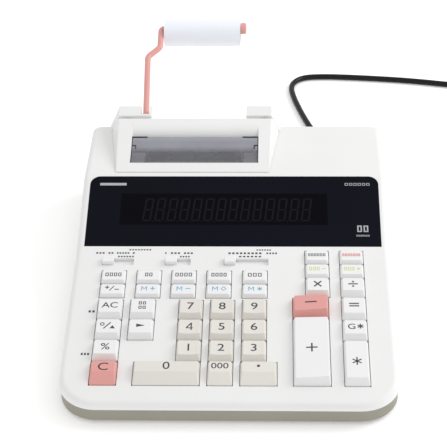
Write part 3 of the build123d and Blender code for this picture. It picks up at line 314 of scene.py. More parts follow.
def smoked():
    """Smoked plastic with fine handling marks: clearer before its bend; lighter behind it, a painted sheen."""
    material, tree, shader = fresh_material("smoked_plastic")
    place = coordinates_of(tree)
    haze = noise(tree, place, scale=70.0, detail=4.0)
    bend_y = from_front(0, PLATE_BEND, 0).y
    # painted sheen: behind the bend the plate is tinted lighter and made less clear, for the light its sloped rear
    # reflects
    painted_sheen_share = remapped(tree, parts_of(tree, place)["Y"],
                        from_min=bend_y - 0.001, from_max=bend_y + 0.004)
    mix = add_node(tree, "ShaderNodeMix", data_type="RGBA")
    tree.links.new(painted_sheen_share, mix.inputs["Factor"])
    # the rear ramp is lighter than the front one: painted sheen, not a different plastic
    front = ramp(tree, haze, (0.50, 0.50, 0.555), (0.56, 0.56, 0.615))
    rear = ramp(tree, haze, (0.56, 0.56, 0.63), (0.62, 0.62, 0.69))
    tree.links.new(front, mix.inputs["A"])
    tree.links.new(rear, mix.inputs["B"])
    tree.links.new(mix.outputs["Result"], shader.inputs["Base Color"])
    bump(tree, shader, [(noise(tree, place, scale=900.0, detail=3.0), 0.05, 0.00002)])
    # less transmission behind the bend is part of the painted sheen
    clear = remapped(tree, painted_sheen_share, to_min=0.88, to_max=0.58)
    tree.links.new(clear, shader.inputs["Transmission Weight"])
    shader.inputs["Roughness"].default_value = 0.12
    shader.inputs["IOR"].default_value = 1.49
    return material


CORE_RADIUS = 0.0071                      # cardboard core of the roll, in metres
LAYER_PITCH = 0.00035                     # rings on the ends of the roll, in metres


def wound_paper():
    """Till roll paper: a fibrous web, fine rings of its layers, and cardboard at its core."""
    material, tree, shader = fresh_material("roll_paper")
    place = coordinates_of(tree)
    fibre = noise(tree, place, scale=900.0, detail=5.0, roughness=0.7)
    web = ramp(tree, fibre, (0.87, 0.89, 0.96), (0.92, 0.94, 1.0), (0.25, 0.75))

    def maths(operation, value, number=0.0):
        found = add_node(tree, "ShaderNodeMath", operation=operation)
        tree.links.new(value, found.inputs[0])
        found.inputs[1].default_value = number
        return found.outputs[0]

    low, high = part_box("paper_roll")
    middle = (low + high) / 2
    parts = parts_of(tree, place)
    across = tree.nodes.new("ShaderNodeCombineXYZ")
    tree.links.new(maths("SUBTRACT", parts["Y"], middle.y), across.inputs["Y"])
    tree.links.new(maths("SUBTRACT", parts["Z"], middle.z), across.inputs["Z"])
    length = add_node(tree, "ShaderNodeVectorMath", operation="LENGTH")
    tree.links.new(across.outputs[0], length.inputs[0])
    radius = length.outputs["Value"]
    rings = maths("SINE", maths("MULTIPLY", radius, 2 * pi / LAYER_PITCH))
    mix = add_node(tree, "ShaderNodeMix", data_type="RGBA")
    tree.links.new(maths("LESS_THAN", radius, CORE_RADIUS), mix.inputs["Factor"])
    tree.links.new(web, mix.inputs["A"])
    mix.inputs["B"].default_value = (0.42, 0.33, 0.24, 1)
    tree.links.new(mix.outputs["Result"], shader.inputs["Base Color"])
    bump(tree, shader, [(fibre, 0.25, 0.00002), (rings, 0.2, 0.00003)])
    shader.inputs["Roughness"].default_value = 0.75
    shader.inputs["Specular IOR Level"].default_value = 0.25
    return material


BRUSH_SCALE = (300.0, 300.0, 4000.0)


def metal(name, color, rough):
    """Drawn metal with fine lines from its making."""
    material, tree, shader = fresh_material(name)
    stretch = add_node(tree, "ShaderNodeVectorMath", operation="MULTIPLY")
    tree.links.new(coordinates_of(tree), stretch.inputs[0])
    stretch.inputs[1].default_value = BRUSH_SCALE
    lines = noise(tree, stretch.outputs[0], scale=1.0, detail=3.0)
    tint(tree, shader, lines, scaled(color, 0.9), scaled(color, 1.08))
    bump(tree, shader, [(lines, 0.15, 0.00002)])
    shader.inputs["Metallic"].default_value = 1.0
    shader.inputs["Roughness"].default_value = rough
    return material


def laminate():
    """Green circuit laminate with a tracery of tracks under its solder mask."""
    material, tree, shader = fresh_material("circuit_board")
    cells = add_node(tree, "ShaderNodeTexVoronoi", Scale=260.0, distance="CHEBYCHEV")
    tree.links.new(coordinates_of(tree), cells.inputs["Vector"])
    tracks = cells.outputs["Distance"]
    tint(tree, shader, tracks, (0.05, 0.28, 0.10), (0.02, 0.13, 0.05), (0.1, 0.25))
    bump(tree, shader, [(tracks, 0.2, 0.00005)])
    shader.inputs["Roughness"].default_value = 0.3
    return material


def repaint(node, material):
    data = nodes[node].data
    data.materials.clear()
    data.materials.append(material)
    for polygon in data.polygons:
        polygon.material_index = 0


PAINT = {
    "case_white": case_white,
    "case_grey": case_grey,
    "key_white": key_white,
    "key_beige": key_beige,
    "key_pink": key_pink,
    "display_glass": polished_panel(),
    "lcd_module": screen("lcd_module", (0.03, 0.03, 0.035), (0.05, 0.05, 0.055), 0.3),
    "circuit_board": laminate(),
    "silicone": silicone,
    "smoked_plastic": smoked(),
    "paper": wound_paper(),
    "printer_plastic": printer_plastic,
    "drum_plastic": drum_plastic,
    "roller_rubber": roller_rubber,
    "foot_rubber": foot_rubber,
    "screw_steel": metal("screw_steel", (0.55, 0.55, 0.56), 0.35),
    "cord_pvc": cord_pvc,
}
SLOT_OF = {part["node"]: part["material_slot"] for part in frame["record"]["subparts"]}
for part_node, part_slot in SLOT_OF.items():
    repaint(part_node, PAINT[part_slot])


# ------------------------------------------------------------------ mains lead
CORD_RADIUS = 2.3
ROUTE = (
    (64.0, 286.0, 12.0), (64.0, 306.0, 11.0), (60.0, 330.0, CORD_RADIUS),
    (51.0, 357.0, CORD_RADIUS), (42.5, 392.0, CORD_RADIUS), (41.0, 411.0, CORD_RADIUS),
    (50.0, 423.0, CORD_RADIUS), (68.0, 425.0, CORD_RADIUS), (100.0, 422.5, CORD_RADIUS),
    (140.0, 417.5, CORD_RADIUS), (176.0, 409.5, CORD_RADIUS), (200.0, 408.6, CORD_RADIUS),
)
COIL_CENTRE = (216.0, 381.0)
COIL_RADIUS = 27.3
TURN_PITCH = 4.6
COIL_LIFT = 0.4                           # the tie passes under the turns
POINTS_PER_TURN = 16
# place of each turn in the bundle: steps outwards from its middle line, and its layer
TURNS = ((0, 0), (-1, 0), (-1, 1), (-1, 2), (0, 2), (0, 1), (1, 2), (1, 1), (1, 0))
CROSS_OVER = 0.75                         # a turn changes its place in the rest of its round
PLUG_X, PLUG_DEPTH, PLUG_HEIGHT = 243.0, 345.0, 7.0       # where the lead enters the plug
TAIL = ((246.5, 372.0, 3.0), (243.8, 359.0, 5.6), (PLUG_X, PLUG_DEPTH, PLUG_HEIGHT))


def coil_points():
    """The put-away length: eight and a quarter turns, clockwise, each passing on to the next.

    The last quarter of a turn takes the lead down to the outermost place on the floor.
    """
    points = []
    last = len(TURNS) - 1
    for step in range(last * POINTS_PER_TURN + POINTS_PER_TURN // 4 + 1):
        turn, part = divmod(step, POINTS_PER_TURN)
        part /= POINTS_PER_TURN
        if turn < last - 1:
            here, there = TURNS[turn], TURNS[turn + 1]
            share = max(0.0, (part - CROSS_OVER) / (1 - CROSS_OVER))
        else:
            here, there = TURNS[-2], TURNS[-1]
            share = min(part * 4, 1.0) if turn == last else 0.0
        share = share * share * (3 - 2 * share)
        out = here[0] + (there[0] - here[0]) * share
        layer = here[1] + (there[1] - here[1]) * share
        radius = COIL_RADIUS + out * TURN_PITCH
        angle = pi / 2 - 2 * pi * step / POINTS_PER_TURN
        points.append((COIL_CENTRE[0] + radius * cos(angle), COIL_CENTRE[1] + radius * sin(angle),
                       CORD_RADIUS + COIL_LIFT + layer * TURN_PITCH))
    return points


def make_cord():
    curve = bpy.data.curves.new("mains_lead", "CURVE")
    curve.dimensions = "3D"
    spline = curve.splines.new("NURBS")
    points = [from_front(*p) for p in (*ROUTE, *coil_points(), *TAIL)]
    spline.points.add(len(points) - 1)
    for control, place in zip(spline.points, points):
        control.co = (*place, 1)
    spline.order_u = 3
    spline.use_endpoint_u = True
    curve.resolution_u = 8
    curve.bevel_depth = CORD_RADIUS * MM
    curve.bevel_resolution = 5
    curve.use_fill_caps = True
    return new_object("mains_lead", curve, "case", cord_pvc)


lead = make_cord()
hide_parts("power_cord", "cord_coil")

CORNER_STEPS = 6


def rounded_section(centre, half_width, half_height, corner, right, up):
    """Points of a rounded rectangle about a centre, in metres."""
    points = []
    for quadrant, (sx, sy) in enumerate(((1, 1), (-1, 1), (-1, -1), (1, -1))):
        for k in range(CORNER_STEPS + 1):
            angle = pi / 2 * (quadrant + k / CORNER_STEPS)
            u = sx * (half_width - corner) + corner * cos(angle)
            v = sy * (half_height - corner) + corner * sin(angle)
            points.append(centre + right * (u * MM) + up * (v * MM))
    return points


RELIEF_PLACE = (64.0, 260.0, 12.0)
# (distance along, radius) of the collar in the wall and of the end on the lead
RELIEF_COLLAR = ((-3.0, 4.6), (0.0, 4.9), (1.5, 4.9))
RELIEF_END = ((23.6, 2.9), (25.4, 2.8), (26.0, 2.45))
RINGS, RING_START, RING_PITCH = 6, 2.0, 3.4
RING_RADIUS, RING_TAPER = 4.4, 0.27       # each ring is this much smaller than the last
# (distance from the ring's start, depth below its radius) along one ring
RING_PROFILE = ((0.0, 0.75), (0.5, 0.75), (0.8, 0.0), (2.4, 0.1), (2.7, 0.8))


def make_relief():
    """Ribbed strain relief, tapering from its collar in the rear wall to the lead."""
    profile = list(RELIEF_COLLAR)
    for k in range(RINGS):
        start = RING_START + k * RING_PITCH
        radius = RING_RADIUS - k * RING_TAPER
        profile += [(start + along, radius - cut) for along, cut in RING_PROFILE]
    profile += RELIEF_END
    mesh = lathe("strain_relief", profile, from_front(*RELIEF_PLACE), Y_AXIS, 40)
    return new_object("strain_relief", mesh, "case", relief_pvc)


# (distance from the lead's end, half width, half height, corner) of the plug's body
PLUG_STATIONS = (
    (0.0, 3.2, 3.2, 3.1), (2.0, 3.9, 3.8, 3.6), (7.0, 5.0, 4.6, 4.2), (12.0, 8.6, 6.2, 5.2),
    (17.0, 10.6, 6.3, 5.2), (22.0, 12.4, 6.2, 5.4), (28.0, 14.0, 6.8, 5.9),
    (31.5, 14.8, 7.0, 6.0), (33.6, 14.8, 7.0, 6.0), (34.0, 14.4, 6.6, 5.7))
# (distance along, radius) of a pin, which starts just inside the body's end
PIN_PROFILE = ((0.0, 1.9), (9.5, 1.9), (9.6, 2.0), (17.6, 2.0), (18.6, 1.5), (19.0, 0.7))
PIN_DEPTH = 311.2
PIN_SHIFT = 9.3
GRIP_RIBS, GRIP_START, GRIP_PITCH = 4, 14.5, 2.6
GRIP_HALF_WIDTH, GRIP_WIDENING = 9.4, 0.95                # each rib is wider than the last
GRIP_HALF_HEIGHT, GRIP_CORNER = 6.45, 5.3
# (distance along, how far it stands out) along one rib
GRIP_PROFILE = ((0.0, 0.0), (0.3, 0.35), (0.9, 0.35), (1.2, 0.0))


def plug_section(along, half_width, half_height, corner):
    centre = from_front(PLUG_X, PLUG_DEPTH - along, PLUG_HEIGHT)
    return rounded_section(centre, half_width, half_height, corner, X_AXIS, UP)


def make_plug():
    """Two-pin mains plug: a tapered body with a finger grip and a short bend relief."""
    mesh = loft("plug_body", [plug_section(*station) for station in PLUG_STATIONS])
    pieces = [new_object("plug_body", mesh, "case", relief_pvc)]
    pin_metal = metal("pin_nickel", (0.74, 0.72, 0.68), 0.22)
    for number, shift in ((1, -PIN_SHIFT), (2, PIN_SHIFT)):
        name = f"plug_pin_{number}"
        place = from_front(PLUG_X + shift, PIN_DEPTH, PLUG_HEIGHT)
        mesh = lathe(name, PIN_PROFILE, place, -Y_AXIS, 24)
        pieces.append(new_object(name, mesh, "case", pin_metal))
    for k in range(GRIP_RIBS):
        name = f"grip_rib_{k + 1}"
        start = GRIP_START + k * GRIP_PITCH
        half_width = GRIP_HALF_WIDTH + k * GRIP_WIDENING
        mesh = loft(name, [
            plug_section(start + along, half_width + out, GRIP_HALF_HEIGHT + out, GRIP_CORNER)
            for along, out in GRIP_PROFILE])
        pieces.append(new_object(name, mesh, "case", relief_pvc))
    return pieces


TIE_ANGLE = radians(205)
BUNDLE_HALF = 1.5 * TURN_PITCH            # the bundle is three turns wide and three high
TIE_HALF_WIDTH = 2.6
TIE_THICKNESS = 0.38
TIE_CORNER = 2.2


def make_tie():
    """Flat strap round the bundle of turns."""
    out = Vector((cos(TIE_ANGLE), sin(TIE_ANGLE), 0))
    along = Vector((-sin(TIE_ANGLE), cos(TIE_ANGLE), 0))
    middle = from_front(*COIL_CENTRE, 0) + out * (COIL_RADIUS * MM)
    middle.z = (BUNDLE_HALF + COIL_LIFT) * MM
    bm = bmesh.new()
    rims = []
    for swell, shift in ((0.0, -TIE_HALF_WIDTH), (TIE_THICKNESS, -TIE_HALF_WIDTH),
                         (TIE_THICKNESS, TIE_HALF_WIDTH), (0.0, TIE_HALF_WIDTH)):
        section = rounded_section(middle + along * (shift * MM), BUNDLE_HALF + swell,
                                  BUNDLE_HALF + swell, TIE_CORNER + swell, out, UP)
        rims.append([bm.verts.new(point) for point in section])
    skin(bm, rims, endless=True)
    bmesh.ops.recalc_face_normals(bm, faces=bm.faces)
    mesh = mesh_of(bm, "lead_tie", smooth=False)
    return new_object("lead_tie", mesh, "case", relief_pvc)


relief = make_relief()
plug = make_plug()
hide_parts("cord_fittings")
cord_pieces = [relief, *plug, make_tie()]


# ------------------------------------------------------------------ printed marks
RAY_LIFT, RAY_REACH = 0.02, 0.06          # metres: start above a face, and how far down it looks
INK_THICKNESS = 0.05
INK_SINK = 0.02                           # the film's underside lies this far inside the face
MARK_PITCH = 1.2                          # cells of a mark that follows a dished or bent face


class Face:
    """A face of a CAD node that marks are printed on: its outward and its upward direction."""

    def __init__(self, node, normal, foot):
        mesh = nodes[node].data
        self.tree = BVHTree.FromPolygons([v.co for v in mesh.vertices],
                                         [p.vertices for p in mesh.polygons])
        self.normal = normal.normalized()
        self.up = self.normal.cross(X_AXIS)
        self.foot = foot

    def drop(self, x, v):
        """The point of the face above (x, v), or None past its edge."""
        start = self.foot + X_AXIS * (x * MM) + self.up * (v * MM) + self.normal * RAY_LIFT
        return self.tree.ray_cast(start, -self.normal, RAY_REACH)[0]


def cut_grid(bm, pitch):
    """Cuts a flat mesh into cells, so that it can follow a curved face."""
    xs = [v.co.x for v in bm.verts]
    ys = [v.co.y for v in bm.verts]
    for axis, values in ((X_AXIS, xs), (Y_AXIS, ys)):
        value = min(values) + pitch
        while value < max(values):
            bmesh.ops.bisect_plane(bm, geom=bm.verts[:] + bm.edges[:] + bm.faces[:],
                                   plane_co=axis * value, plane_no=axis)
            value += pitch


def stamp(name, draw, face, x, v, body, material, pitch=MARK_PITCH, sink=INK_SINK):
    """Prints what draw adds to a flat mesh (millimetres) on a face, with its origin at (x, v)."""
    bm = bmesh.new()
    draw(bm)
    cut_grid(bm, pitch)
    for vert in bm.verts:
        hit = face.drop(x + vert.co.x, v + vert.co.y)
        if hit is None:
            hit = face.drop(x, v)
        vert.co = hit - face.normal * (sink * MM)
    bm.normal_update()
    bmesh.ops.reverse_faces(bm, faces=[f for f in bm.faces if f.normal.dot(face.normal) < 0])
    piece = new_object(name, mesh_of(bm, name, smooth=False), body, material)
    solid = piece.modifiers.new("film", "SOLIDIFY")
    solid.thickness = INK_THICKNESS * MM
    solid.offset = 1


def polygon(bm, points):
    bm.faces.new([bm.verts.new((px, py, 0)) for px, py in points])


def bar(bm, x, y, width, height):
    w, h = width / 2, height / 2
    polygon(bm, [(x - w, y - h), (x + w, y - h), (x + w, y + h), (x - w, y + h)])


def stroke(bm, start, end, width):
    a, b = Vector(start), Vector(end)
    side = (b - a).normalized()
    side = Vector((-side.y, side.x)) * (width / 2)
    polygon(bm, [tuple(a - side), tuple(b - side), tuple(b + side), tuple(a + side)])


def disc(bm, x, y, radius, steps=20):
    polygon(bm, [(x + radius * cos(2 * pi * k / steps), y + radius * sin(2 * pi * k / steps))
                 for k in range(steps)])


FONT_HEIGHT = 0.73                        # height of a figure in the built-in font at size 1
LETTER_STRETCH = 1.15
LETTER_WEIGHT = 0.005


def letters(bm, text, x, y, height):
    """Adds figures or generic signs of this height, centred on (x, y)."""
    curve = bpy.data.curves.new("letters", "FONT")
    curve.body = text
    curve.size = 1.0
    curve.offset = LETTER_WEIGHT
    curve.resolution_u = 6
    holder = bpy.data.objects.new("letters", curve)
    bpy.context.scene.collection.objects.link(holder)
    bpy.context.view_layer.update()
    shown = holder.evaluated_get(bpy.context.evaluated_depsgraph_get())
    mesh = bpy.data.meshes.new_from_object(shown)
    bpy.data.objects.remove(holder)
    bpy.data.curves.remove(curve)
    xs = [v.co.x for v in mesh.vertices]
    ys = [v.co.y for v in mesh.vertices]
    scale = height / FONT_HEIGHT
    middle = Vector(((min(xs) + max(xs)) / 2, (min(ys) + max(ys)) / 2, 0))
    known = set(bm.verts)
    bm.from_mesh(mesh)
    for vert in bm.verts:
        if vert not in known:
            local = vert.co - middle
            vert.co = Vector((x + local.x * scale * LETTER_STRETCH, y + local.y * scale, 0))
    bpy.data.meshes.remove(mesh)


def plus_sign(bm, x, y, size, width=1.0):
    bar(bm, x, y, size, width)
    bar(bm, x, y + (size + width) / 4, width, (size - width) / 2)
    bar(bm, x, y - (size + width) / 4, width, (size - width) / 2)


HALF_DIAGONAL = 0.71                      # a side's share of the diagonal of a square


def times_sign(bm, x, y, size, width=1.0):
    reach = size / 2 * 0.75
    near = width / 2 * HALF_DIAGONAL
    stroke(bm, (x - reach, y - reach), (x + reach, y + reach), width)
    for sign in (-1, 1):
        stroke(bm, (x + sign * near, y - sign * near), (x + sign * reach, y - sign * reach), width)


def star_sign(bm, x, y, size, width=0.85):
    for angle in (0, 60, 120):
        out = Vector((cos(radians(angle + 90)), sin(radians(angle + 90)))) * size / 2
        stroke(bm, (x - out.x, y - out.y), (x + out.x, y + out.y), width)


def divide_sign(bm, x, y, size, width=1.0):
    dot_shift, dot_radius = size * 0.33, width * 0.72
    bar(bm, x, y, size, width)
    for side in (-1, 1):
        disc(bm, x, y + side * dot_shift, dot_radius)


def diamond_sign(bm, x, y, size, width=0.6):
    corners = [(size / 2, 0), (0, size / 2), (-size / 2, 0), (0, -size / 2)]
    for (ax, ay), (bx, by) in zip(corners, corners[1:] + corners[:1]):
        stroke(bm, (x + ax, y + ay), (x + bx, y + by), width)


BOX_SHARE, TICK_SHARE = 0.74, 0.62        # width of a box and of a tick in its pitch


def blocks(bm, x, y, count, width, height, line=0.55):
    """A row of small open boxes, a neutral stand-in for a word."""
    pitch = width / count
    box_width = pitch * BOX_SHARE
    for k in range(count):
        middle = x - width / 2 + pitch * (k + 0.5)
        for side in (-1, 1):
            bar(bm, middle + side * (box_width - line) / 2, y, line, height)
            bar(bm, middle, y + side * (height - line) / 2, box_width - 2 * line, line)


def memory_letter(bm, x, y, width, height, line=0.62):
    """The letter of the memory keys: two uprights and a pair of slopes that meet between them."""
    bottom = y - height * 0.12
    for side in (-1, 1):
        bar(bm, x + side * (width - line) / 2, y, line, height)
        inner = x + side * (width / 2 - line)
        polygon(bm, [(inner, y + height / 2), (inner, y + height / 2 - 1.5 * line),
                     (x, bottom - 0.75 * line), (x, bottom + 0.75 * line)])


# ------------------------------------------------------------------ marks on the keys
KEY_OUT = -Vector(next(j for j in frame["joints"] if j["child"] == "key_1")["axis"])
KEYBOARD_FOOT = from_front(0, 3.0, 16.2)
SKIRT_SHIFT = 0.5                         # a cap's face is centred this far below its box


def key_middle(node):
    """(x, v) of the middle of a key's cap, in millimetres."""
    low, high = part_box(node)
    up = KEY_OUT.cross(X_AXIS)
    v = ((low.y + high.y) / 2 - KEYBOARD_FOOT.y) / up.y / MM - SKIRT_SHIFT
    return (low.x + high.x) / 2 / MM, v


def mark_key(node, draw, rise, material):
    """Prints a mark on a key, its origin raised up the slope from the middle of the cap."""
    x, v = key_middle(node)
    stamp("mark_" + node, draw, Face(node, KEY_OUT, KEYBOARD_FOOT), x, v + rise, node,
          material)


def text(figures, height):
    return lambda bm: letters(bm, figures, 0, 0, height)


def word(count, width, height, line=0.55):
    return lambda bm: blocks(bm, 0, 0, count, width, height, line)


def memory(sign):
    def draw(bm):
        memory_letter(bm, -2.2, 0, 3.7, 3.5)
        sign(bm, 3.2, 0)
    return draw


def tax(plus):
    def draw(bm):
        blocks(bm, -1.8, 0, 3, 7.4, 3.0, 0.5)
        bar(bm, 4.2, 0, 2.4, 0.6)
        if plus:
            bar(bm, 4.2, 0.75, 0.6, 0.9)
            bar(bm, 4.2, -0.75, 0.6, 0.9)
    return draw


def figure_four(bm):
    bar(bm, 1.05, 0, 0.8, 6.0)
    bar(bm, -0.825, -1.35, 2.95, 0.65)
    bar(bm, 1.8, -1.35, 0.7, 0.65)
    polygon(bm, [(-2.3, -1.025), (-1.35, -1.025), (0.65, 1.65), (0.65, 3.0)])


def percent_change(bm):
    """A small ring, a slash and a triangle."""
    x, y, radius, steps = -3.3, 1.2, 1.15, 12
    ring = [(x + radius * cos(2 * pi * k / steps), y + radius * sin(2 * pi * k / steps))
            for k in range(steps)]
    for start, end in zip(ring, ring[1:] + ring[:1]):
        stroke(bm, start, end, 0.6)
    stroke(bm, (-2.4, -2.6), (1.8, 2.6), 0.75)
    polygon(bm, [(1.4, -2.5), (4.8, -2.5), (3.1, 0.2)])


def arrow(bm):
    polygon(bm, [(-2.6, -1.4), (2.8, 0), (-2.6, 1.4)])


def two_rows(bm):
    blocks(bm, 0, 1.9, 2, 5.2, 2.6)
    blocks(bm, 0, -1.9, 2, 5.2, 2.6)


def equals_sign(bm):
    for side in (-1, 1):
        bar(bm, 0, side * 1.05, 6.2, 1.0)


def grand_total(bm):
    letters(bm, "G", -2.2, 0, 4.6)
    star_sign(bm, 3.2, 0.2, 4.0, 0.8)


def sign_change(bm):
    plus_sign(bm, -3.1, 0.9, 2.8, 0.7)
    stroke(bm, (-1.5, -2.0), (1.2, 2.0), 0.6)
    bar(bm, 3.1, -0.9, 2.8, 0.7)


FIGURE_SIZE = 6.0
BOTTOM_RISE = 3.4                         # the bottom row is marked near the top of its caps
# key, what is drawn, how far above the middle of the cap, ink
KEY_MARKS = (
    *((digit, text(digit, FIGURE_SIZE), 0.3, ink_dark) for digit in "12356789"),
    ("4", figure_four, 0.3, ink_dark),
    ("0", text("0", FIGURE_SIZE), BOTTOM_RISE, ink_dark),
    ("000", text("000", 4.6), BOTTOM_RISE, ink_dark),
    ("point", lambda bm: disc(bm, 0, 0, 1.0), BOTTOM_RISE, ink_dark),
    ("clear", text("C", 6.2), BOTTOM_RISE - 1.0, ink_dark),
    ("percent", text("%", 5.4), 0.4, ink_dark),
    ("percent_change", percent_change, 0.4, ink_dark),
    ("clear_all", text("AC", 4.8), 0.5, ink_dark),
    ("right_shift", arrow, 0.6, ink_dark),
    ("mark_up", two_rows, 0.4, ink_dark),
    ("plus", lambda bm: plus_sign(bm, 0, 0, 7.0), 0.0, ink_dark),
    ("minus", lambda bm: bar(bm, 0, 0, 7.2, 1.1), 0.6, ink_dark),
    ("times", lambda bm: times_sign(bm, 0, 0, 6.2), 0.3, ink_dark),
    ("divide", lambda bm: divide_sign(bm, 0, 0, 6.0), 0.3, ink_dark),
    ("total", lambda bm: star_sign(bm, 0, 0, 6.2), -1.0, ink_dark),
    ("equals", equals_sign, 0.5, ink_dark),
    ("grand_total", grand_total, 0.4, ink_dark),
    ("sign", sign_change, 0.3, ink_dark),
    ("m_plus", memory(lambda bm, x, y: plus_sign(bm, x, y, 3.2, 0.7)), 0.3, ink_blue),
    ("m_minus", memory(lambda bm, x, y: bar(bm, x, y, 3.2, 0.7)), 0.3, ink_blue),
    ("m_subtotal", memory(lambda bm, x, y: diamond_sign(bm, x, y, 3.2, 0.55)), 0.3, ink_blue),
    ("m_total", memory(lambda bm, x, y: star_sign(bm, x, y, 3.4, 0.6)), 0.3, ink_blue),
    ("feed", word(4, 11.0, 3.2), 0.2, ink_dark),
    ("items", word(2, 5.4, 3.2), 0.2, ink_dark),
    ("cost", word(4, 11.4, 3.2), 0.2, ink_dark),
    ("sell", word(4, 10.4, 3.2), 0.2, ink_dark),
    ("margin", word(3, 9.6, 3.2), 0.2, ink_dark),
    ("tax_minus", tax(False), 0.3, ink_green),
    ("tax_plus", tax(True), 0.3, ink_green),
    ("change", word(6, 11.6, 2.5, 0.45), 0.3, ink_dark),
    ("reprint", word(7, 12.0, 2.5, 0.45), 0.3, ink_red),
)
for key, key_draw, key_rise, key_ink in KEY_MARKS:
    mark_key("key_" + key, key_draw, key_rise, key_ink)


# ------------------------------------------------------------------ marks on the case
keyboard_face = Face("upper_case", KEY_OUT, KEYBOARD_FOOT)
SCALE_ROW = 125.9                         # v of the rows of ticks just above the switches


def case_marks(name, rows):
    """Prints rows of short neutral bars: (left, right, v, height, how many)."""
    for number, (left, right, v, height, count) in enumerate(rows):
        pitch = (right - left) / count

        def draw(bm):
            for k in range(count):
                bar(bm, left + pitch * (k + 0.5), 0, pitch * TICK_SHARE, height)

        stamp(f"{name}_{number + 1}", draw, keyboard_face, 0, v, "case", ink_dark)


case_marks("print_scale", ((-89.6, -83.4, SCALE_ROW, 1.5, 3), (-81.6, -77.6, SCALE_ROW, 1.5, 2),
                           (-76.0, -67.2, SCALE_ROW, 1.5, 5), (-65.6, -63.6, SCALE_ROW, 1.5, 1),
                           (-75.0, -64.0, 122.6, 1.3, 6), (-68.0, -53.0, 129.0, 1.2, 8)))
case_marks("rounding_scale", ((-44.2, -42.8, SCALE_ROW, 1.5, 1), (-40.6, -33.8, SCALE_ROW, 1.5, 3),
                              (-32.0, -25.4, SCALE_ROW, 1.5, 3), (-34.4, -27.4, 122.6, 1.3, 4)))
case_marks("decimal_scale", ((-3.0, 19.6, SCALE_ROW, 1.6, 9), (4.0, 19.4, 122.8, 1.3, 6),
                             (22.0, 29.6, SCALE_ROW, 1.5, 4), (15.6, 25.6, 129.0, 1.2, 6)))
case_marks("key_notes", ((-90.0, -85.2, 73.0, 1.8, 2), (-91.4, -85.6, 37.0, 1.8, 3)))


# ------------------------------------------------------------------ display
def biggest_top_normal(node):
    faces = nodes[node].data.polygons
    return max(faces, key=lambda p: p.area if p.normal.z > 0 else 0).normal.copy()


panel_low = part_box("display_window")[0]
panel_face = Face("display_window", biggest_top_normal("display_window"),
                  Vector((0, panel_low.y, panel_low.z)))
screen_glass = screen("screen_glass", (0.0018, 0.0018, 0.004), (0.0026, 0.0026, 0.0052), 0.16)
screen_figures = screen("screen_figures", (0.0085, 0.009, 0.0125), (0.0105, 0.011, 0.015), 0.16)
# (left, right, low, high) on the panel
SCREEN = (-75.9, 63.0, 18.6, 45.4)
FIGURE_ROW = (-60.7, 53.5, 21.6, 41.2)
FIGURES = 14
FIGURE_WIDTH = 5.9
SEGMENT_WIDTH, SEGMENT_GAP = 1.15, 0.35
FIGURE_LEAN = 0.10
FIGURE_SHIFT = 0.4                        # a figure stands left of the middle of its cell
POINT_INSET, POINT_DROP, POINT_RADIUS, POINT_STEPS = 1.0, 0.4, 0.5, 10
WHOLE = 400                               # a cell as wide as the flat panel, so nothing is cut


def screen_window(bm):
    left, right, low, high = SCREEN
    polygon(bm, [(left, low), (right, low), (right, high), (left, high)])


def seven_bars(bm, x, low, high):
    """One figure of the display with all its seven bars, at rest."""
    middle = (low + high) / 2
    half = (high - low) / 2
    w, line, gap = FIGURE_WIDTH / 2, SEGMENT_WIDTH, SEGMENT_GAP

    def at(px, py):
        return (x + px + (py - middle) * FIGURE_LEAN, py)

    for y, turn in ((high, -1), (middle, 0), (low, 1)):
        if turn:
            polygon(bm, [at(-w + gap, y), at(w - gap, y), at(w - line - gap, y + turn * line),
                         at(-w + line + gap, y + turn * line)])
        else:
            polygon(bm, [at(-w + line * 0.7, y - line / 2), at(w - line * 0.7, y - line / 2),
                         at(w - line * 0.4, y), at(w - line * 0.7, y + line / 2),
                         at(-w + line * 0.7, y + line / 2), at(-w + line * 0.4, y)])
    for sx in (-1, 1):
        for sy in (-1, 1):
            outer, inner = sx * w, sx * (w - line)
            top = middle + sy * half
            polygon(bm, [at(outer, middle + sy * gap), at(outer, top - sy * gap),
                         at(inner, top - sy * (line + gap)),
                         at(inner, middle + sy * (line * 0.5 + gap))])


def figure_row(bm):
    """The unlit figures, with a point after each but the last."""
    left, right, low, high = FIGURE_ROW
    pitch = (right - left) / FIGURES
    for k in range(FIGURES):
        x = left + pitch * (k + 0.5)
        seven_bars(bm, x - FIGURE_SHIFT, low, high)
        if k < FIGURES - 1:
            disc(bm, x + pitch / 2 - POINT_INSET, low - POINT_DROP, POINT_RADIUS, POINT_STEPS)


def low_mark(bm):
    blocks(bm, 86.0, 15.4, 2, 8.4, 5.4, 0.9)
    blocks(bm, 86.0, 9.6, 6, 9.0, 1.3, 0.3)


# name, what is drawn, material, how far the film's underside lies inside the panel
for mark, mark_draw, mark_material, mark_sink in (
        ("display_screen", screen_window, screen_glass, 0.04),
        ("display_figures", figure_row, screen_figures, 0.0),
        ("panel_mark_left", lambda bm: bar(bm, -82.0, 53.6, 18.0, 2.2), ink_panel, 0.03),
        ("panel_mark_right", lambda bm: blocks(bm, 83.5, 53.6, 6, 17.5, 2.2, 0.4), ink_panel, 0.03),
        ("panel_mark_low", low_mark, ink_panel, 0.03)):
    stamp(mark, mark_draw, panel_face, 0, 0, "case", mark_material,
          WHOLE, mark_sink)


# ------------------------------------------------------------------ painted shade in the paper cutter's gaps
GAP_SHADE_LIFT, GAP_SHADE_SINK = 0.3, 0.05          # above and below the plate's top face
GAP_SHADE_INSET = 0.05                         # from the plate's sides
# (start, end) inwards from the plate's side, and (front, rear) in depth
# these spans are painted shade: dark strips where the gaps between plate and cover lie in shadow
GAP_SHADE_SPANS = ((0.0, 0.5, 205.2, 229.5), (0.5, 10.8, 228.6, 229.5), (0.5, 3.2, 221.7, 222.4),
              (2.5, 3.2, 219.4, 221.7))


def plate_height(depth):
    """Height of the plate's top face at a depth, in millimetres."""
    front, bend, rear = PLATE_PROFILE
    (start, low), (end, high) = (front, bend) if depth < PLATE_BEND else (bend, rear)
    return low + (depth - start) / (end - start) * (high - low)


